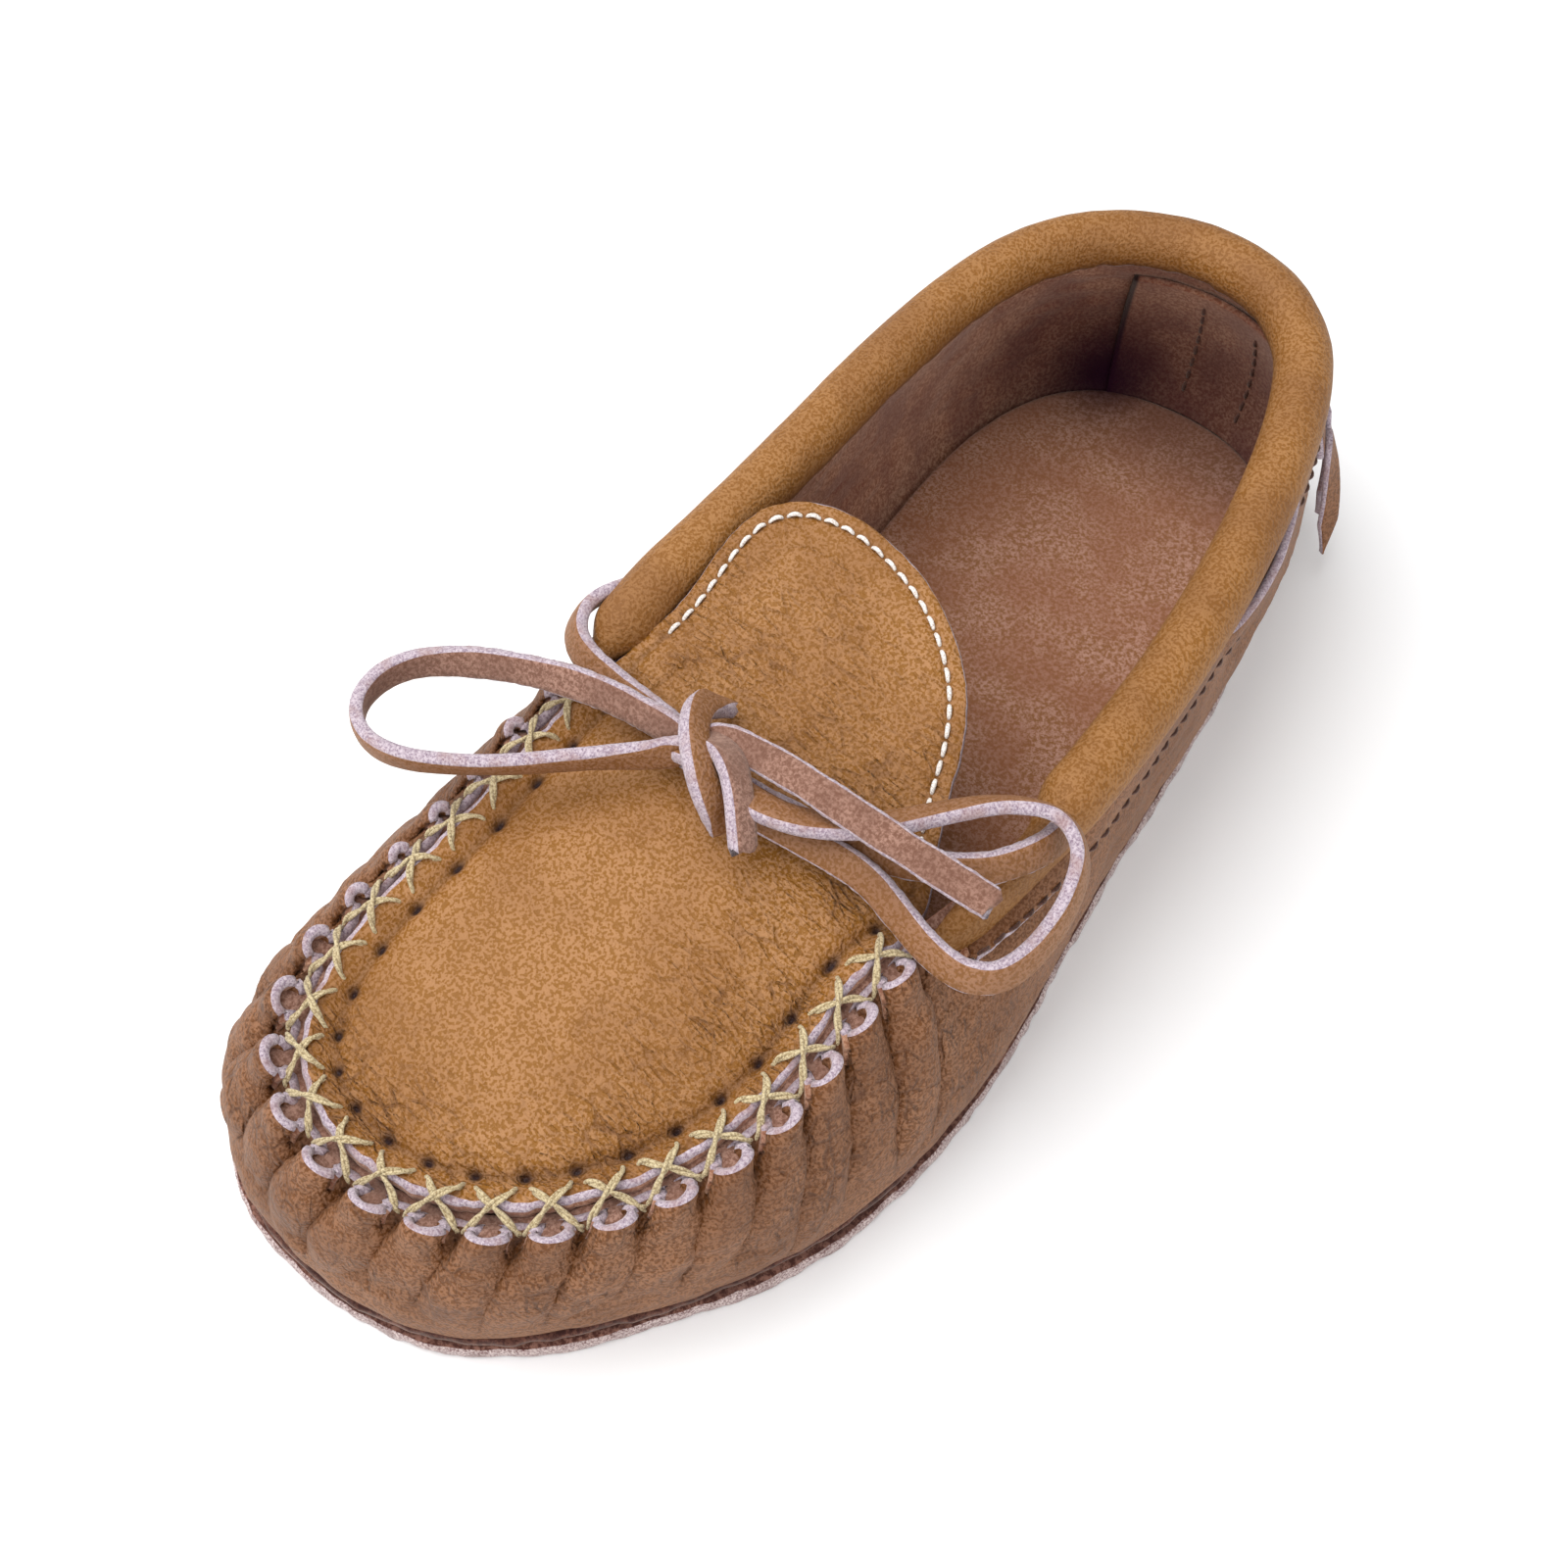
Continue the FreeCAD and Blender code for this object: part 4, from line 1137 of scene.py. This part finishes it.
def build_collar():
    line, out, up = collar_frame()
    run = distances(line)
    flat = 1 - smooth((run[-1] - run - FLAT_LENGTH) / FLAT_FADE)
    slit = window_weight(line)
    share = flat[:, None]
    section = ROLL[:, None] * (1 - share) + FLAT_FOLD[:, None] * share
    grid = line + out * section[..., :1] + up * section[..., 1:]
    for back, share in ((1, 1.0), (2, 0.55), (3, 0.2)):
        grid[-back] += up * (3.4 * share * slit)[:, None] + out * (0.5 * share * slit)[:, None]
    taper = 1 - 0.8 * (1 - smooth(run / 10.0)) ** 1.5
    taper *= 1 - 0.45 * (1 - smooth((run[-1] - run) / 9.0)) ** 1.5
    grid = line[None] + (grid - line[None]) * taper[None, :, None]
    grid += (0.35 * noise(grid, 11.0, 41) + 0.1 * noise(grid, 3.0, 42))[..., None] * up
    grid[0] += up * (0.4 * noise(grid[0], 2.2, 43))[:, None]
    grid[-1] += up * (0.35 * noise(grid[-1], 2.5, 44))[:, None]
    outwards = turned(normals_of(grid), grid - line + up * 2)
    shade = np.zeros(grid.shape[:2])
    # Painted shade along the roll's inner hem, inside the collar.
    shade[0] = 0.35
    sheet("collar_roll", ("collar", "lining", "edge"), "upper_leather", ["collar"], grid, outwards,
          COLLAR_THICKNESS, rough=0.2, seed=46, shade=shade)
    build_collar_band(line, out, up, slit, flat)
    build_heel_run(line, out, up)


def nearest_fraction(line):
    fractions = np.linspace(0, 2, 6001)
    edge = wall_face(fractions, np.full(6001, 0.9))
    near = np.argmin(np.linalg.norm(line[:, None, :2] - edge[None, :, :2], axis=2), axis=1)
    return np.unwrap(fractions[near], period=2.0)


def build_collar_band(line, out, up, slit, flat):
    """Lower edge of the collar's cover, held against the wall by a row of stitches."""
    kernel = np.hanning(15)
    padded = np.pad(nearest_fraction(line), 7, mode="edge")
    f = np.convolve(padded, kernel / kernel.sum(), mode="valid")
    foot, normal, _ = wall_frame(f, np.full(len(f), 0.855))
    normal = unit(turned(normal, out))
    foot = foot + normal * (COLLAR_THICKNESS / 2 + 0.25)
    head_out = (3.9 + 2.4 * slit) * (1 - flat) + 2.2 * flat
    head_up = (-2.8 - 1.4 * slit) * (1 - flat) - 5.0 * flat
    head = line + out * head_out[:, None] + up * head_up[:, None]
    knee = (head + foot) / 2 + out * (1.1 + 0.8 * slit)[:, None]
    grid = np.stack([head * (1 - t) ** 2 + knee * 2 * t * (1 - t) + foot * t ** 2
                     for t in np.linspace(0, 1, 9)])
    grid += out * (0.25 * noise(grid, 7.0, 51))[..., None]
    grid[-1] += up * (0.3 * noise(grid[-1], 3.0, 52))[:, None]
    outwards = turned(normals_of(grid), out)
    sheet("collar_band", GRAIN_SHEET, "upper_leather", (), grid, outwards, COLLAR_THICKNESS,
          rough=0.18, seed=53)
    row = grid[-2] * 0.6 + grid[-3] * 0.4 + outwards[-2] * (COLLAR_THICKNESS / 2)
    stitches = Bundle()
    stitch_row(stitches, row, outwards[-2], 2.7, 3.6, 0.36, lift=0.05)
    stitches.piece("collar_stitches", ("brown",), "brown_thread", "shoe",
                   ["collar_stitching"])


def build_heel_run(line, out, up):
    """The thong inside the collar, seen through the slits."""
    kept = slice(30, len(line) - 62, 2)
    centre = line[kept] + out[kept] * 3.7 - up[kept] * 1.4
    bundle = Bundle()
    add_ribbon(bundle, centre * MM, unit(out + 0.2 * up)[kept], LACE_WIDTH * 0.9,
               LACE_THICKNESS * 0.9, 61)
    bundle.piece("thong_in_collar", ("lace_flesh", "lace_flesh", "edge"), "lace_leather",
                 "shoe", ["lace_heel_run"], 1.0)


# --- sole

def outline_loop(inset, count=520):
    points = inset_outline(SOLE_OUTLINE, inset) if inset else SOLE_OUTLINE
    ring = Ring([(x, y, 0.0) for x, y in points], SOLE_TOE)
    half = count // 2
    toe_first = np.concatenate([np.linspace(1, 2, half + 1), np.linspace(0, 1, half + 1)[1:-1]])
    return ring.at(toe_first)


def build_layer(name, node, inset, section, kinds, materials, slot, height=None, seed=70,
                rough=0.25, **marks):
    """Flat layer of the sole. The section is pairs of distance inside the outline and height."""
    outline = outline_loop(inset)
    inward = sideways(unit(np.roll(outline, -1, axis=0) - np.roll(outline, 1, axis=0)))
    inward = inward * np.sign(np.sum(inward * -outline))
    rings = []
    for d, z in section:
        ring = outline + inward * d
        ring[:, 2] = z
        edge = math.exp(-(d / 1.2) ** 2)
        ring += inward * (edge * rough * noise(ring, 2.4, seed))[:, None]
        ring += inward * (edge * rough * 1.6 * noise(ring, 14.0, seed + 1))[:, None]
        if height and z > np.mean([v for _, v in section]):
            ring[:, 2] += height(ring)
        rings.append(ring)
    rings = np.stack(rings)

    def settle_top(p):
        p = levelled(p, section[0][1])
        return levelled(p, p[..., 2] + height(p)) if height else p

    def settle_base(p):
        return levelled(p, section[-1][1])

    bundle = Bundle()
    add_loaf(bundle, rings, kinds, 60, settle_top, settle_base)
    bundle.piece(name, materials, slot, "shoe", [node], **marks)


def build_sole():
    top = top_of("outsole")
    build_layer("outsole_layer", "outsole", 0.7,
                [(7, top), (4, top), (2.4, top), (1.2, top), (0.5, top - 0.1), (0.1, top - 0.4),
                 (0, top - 1.1), (0, top / 2), (0, 0.8), (0.1, 0.3), (0.5, 0), (3, 0), (7, 0)],
                [0] * 4 + [1] * 6 + [0] * 2, ("sole", "sole_edge"), "sole_leather",
                None, 71, 0.35)
    build_layer("rand_layer", "midsole_rand", 1.9,
                [(7, SOLE_TOP), (3, SOLE_TOP), (1.2, SOLE_TOP), (0.4, SOLE_TOP - 0.15),
                 (0.0, SOLE_TOP - 0.6), (0.0, top + 0.5), (0.3, top + 0.1), (3, top + 0.05),
                 (7, top + 0.05)],
                [0, 0, 0, 1, 1, 1, 0, 0], ("rand", "rand"), "rand_leather", None, 74, 0.4)

    def dish(p):
        across = np.abs(p[..., 0] + 5) / 45
        return 0.9 * across ** 2 + 0.35 * noise(p, 18.0, 77)

    build_layer("insole_layer", "insole", 5.0,
                [(d, INSOLE_TOP - drop) for d, drop in (
                    (7, 0), (4, 0), (2, 0), (0.8, 0.1), (0.1, 0.5), (0, 1.2), (0.3, 1.8),
                    (3, 1.9), (7, 1.9))],
                [0] * 8, ("insole",), "footbed_suede", dish, 78, 0.1,
                worn=footbed_wear_and_shade)
    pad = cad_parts["sole_padding"]
    pad.data.materials.clear()
    pad.data.materials.append(MATERIALS["foam"])


# --- heel

def wall_patch(name, first, last, low, high, offset, thickness, materials, node, seed, columns=60,
               rows=16, wave=0.0, seam_shade=0.0):
    """Sheet that follows the heel of the wall at a distance outside its face."""
    f, h = np.meshgrid(np.linspace(first, last, columns), np.linspace(low, high, rows))
    place, normal, _ = wall_frame(f, h)
    normal = turned(normal, place - HEEL_MIDDLE)
    grid = place + normal * offset + normal * (wave * noise(place, 9.0, seed))[..., None]
    shade = np.zeros(f.shape)
    shade[:, [0, 1, -2, -1]] = seam_shade
    slot = "lining_suede" if "stay" in name else "upper_leather"
    sheet(name, materials, slot, [node], grid, normal, thickness, {"worn": heel_wear_and_shade}, rough=0.2,
          seed=seed, shade=shade)


STRIP_STEP = 0.0244
STRIP_ROOT = 0.68
STRIP_LENGTH = 31.0
STRIP_WIDTH = 5.8


def build_heel():
    inside = -UPPER_THICKNESS - 0.7
    wall_patch("heel_stay_patch", -0.076, 0.060, 0.10, 0.90, inside - 0.6, 1.4,
               ("lining", "lining", "lining"), "heel_stay", 81, seam_shade=1.0)
    wall_patch("heel_tab_patch", -0.112, 0.112, 0.655, 0.845, 1.25, 1.6,
               GRAIN_SHEET, "heel_tab", 82, wave=0.15)
    rows = Bundle()
    for fraction in (-0.022, 0.022, 0.052):
        h = np.linspace(0.2, 0.84, 40)
        place, normal, _ = wall_frame(np.full(40, fraction), h)
        normal = turned(normal, place - HEEL_MIDDLE)
        stitch_row(rows, place + normal * (inside - 1.25), -normal, 2.6, 3.6, 0.35)
    rows.piece("heel_stitches", ("brown",), "brown_thread", "shoe", ["heel_stitching"])
    for label, middle in (("heel_fringe_medial", -3), ("heel_fringe_back", 0),
                          ("heel_fringe_lateral", 3)):
        bundle = Bundle()
        for index in (middle - 1, middle, middle + 1):
            add_strip(bundle, index)
        bundle.piece(label + "_strips", ("wall", "lace_flesh", "edge"), "lining_suede",
                     label, [label], 1.0)


def add_strip(bundle, index):
    """Pointed strip that hangs from the tab's lower edge, outside it, curling a little."""
    f = index * STRIP_STEP
    place, normal, along = wall_frame(np.array([f]), np.array([STRIP_ROOT]))
    root, out, along = place[0], normal[0], along[0]
    out = unit(levelled(turned(out, root - np.array([-12, 90, root[2]])), 0.0))
    tip = out * (3.2 + 0.6 * abs(index)) + along * 0.9 * index - UP * STRIP_LENGTH
    t = np.linspace(0, 1, 44)
    draws = np.random.default_rng(90 + index)
    bow = draws.uniform(-1.2, 1.2)
    line = root + out * 3.0 + t[:, None] * tip + along * (bow * t * (1 - t) * 2)[:, None]
    line = line + out * (1.1 * np.sin(np.pi * t))[:, None]
    width = STRIP_WIDTH * np.where(t < 0.72, 1 - 0.1 * t / 0.72, 0.9 * (1 - t) / 0.28)
    width = np.maximum(width, 0.5)
    twist = (draws.uniform(-0.5, 0.5) + 0.35 * index) * t
    faces = out + along * twist[:, None]
    add_ribbon(bundle, line * MM, unit(faces), width * MM, 1.4 * MM, 95 + index)


# --- stage and light

FLOOR_REACH = 3.0
FLOOR_DROP = 0.0002
WORLD_STRENGTH = 0.62
LIGHTS = [("key", (-0.36, -0.26, 0.94), (0, -0.03, 0.03), 1.2, 12.4),
          ("fill", (0.7, -0.5, 0.5), (0, 0, 0.03), 0.8, 2.8)]


def build_stage():
    mesh = bpy.data.meshes.new("floor")
    corners = [(x * FLOOR_REACH, y * FLOOR_REACH, -FLOOR_DROP)
               for x, y in ((-1, -1), (1, -1), (1, 1), (-1, 1))]
    mesh.from_pydata(corners, [], [(0, 1, 2, 3)])
    floor = bpy.data.objects.new("floor", mesh)
    f = Finish("floor_paint")
    grain = f.noise(60, 2.0, 0.5)
    base = f.mix(grain, colour(250, 250, 250), colour(247, 247, 248))
    mesh.materials.append(f.done(base, 0.9, f.bump(grain, 0.01, 0.1), 0.1))
    bpy.context.scene.collection.objects.link(floor)
    world = bpy.data.worlds.new("studio")
    world.use_nodes = True
    sky = world.node_tree.nodes["Background"].inputs
    sky["Color"].default_value = (1, 1, 1, 1)
    sky["Strength"].default_value = WORLD_STRENGTH
    bpy.context.scene.world = world
    bpy.context.scene.view_settings.view_transform = "Standard"


def add_light(name, place, target, size, power):
    data = bpy.data.lights.new(name, "AREA")
    data.shape = "DISK"
    data.size = size
    data.energy = power
    back = unit(np.array(place, float) - np.array(target, float))
    side = unit(np.cross(UP + 0.001, back))
    stand(name, data, place, side, np.cross(back, side), back)


add_camera()
build_thong()
build_wall()
plan, plan_inward = build_instep()
build_cross_stitches()
build_tongue_stitches(plan, plan_inward)
build_collar()
build_sole()
build_heel()
build_stage()
for light in LIGHTS:
    add_light(*light)
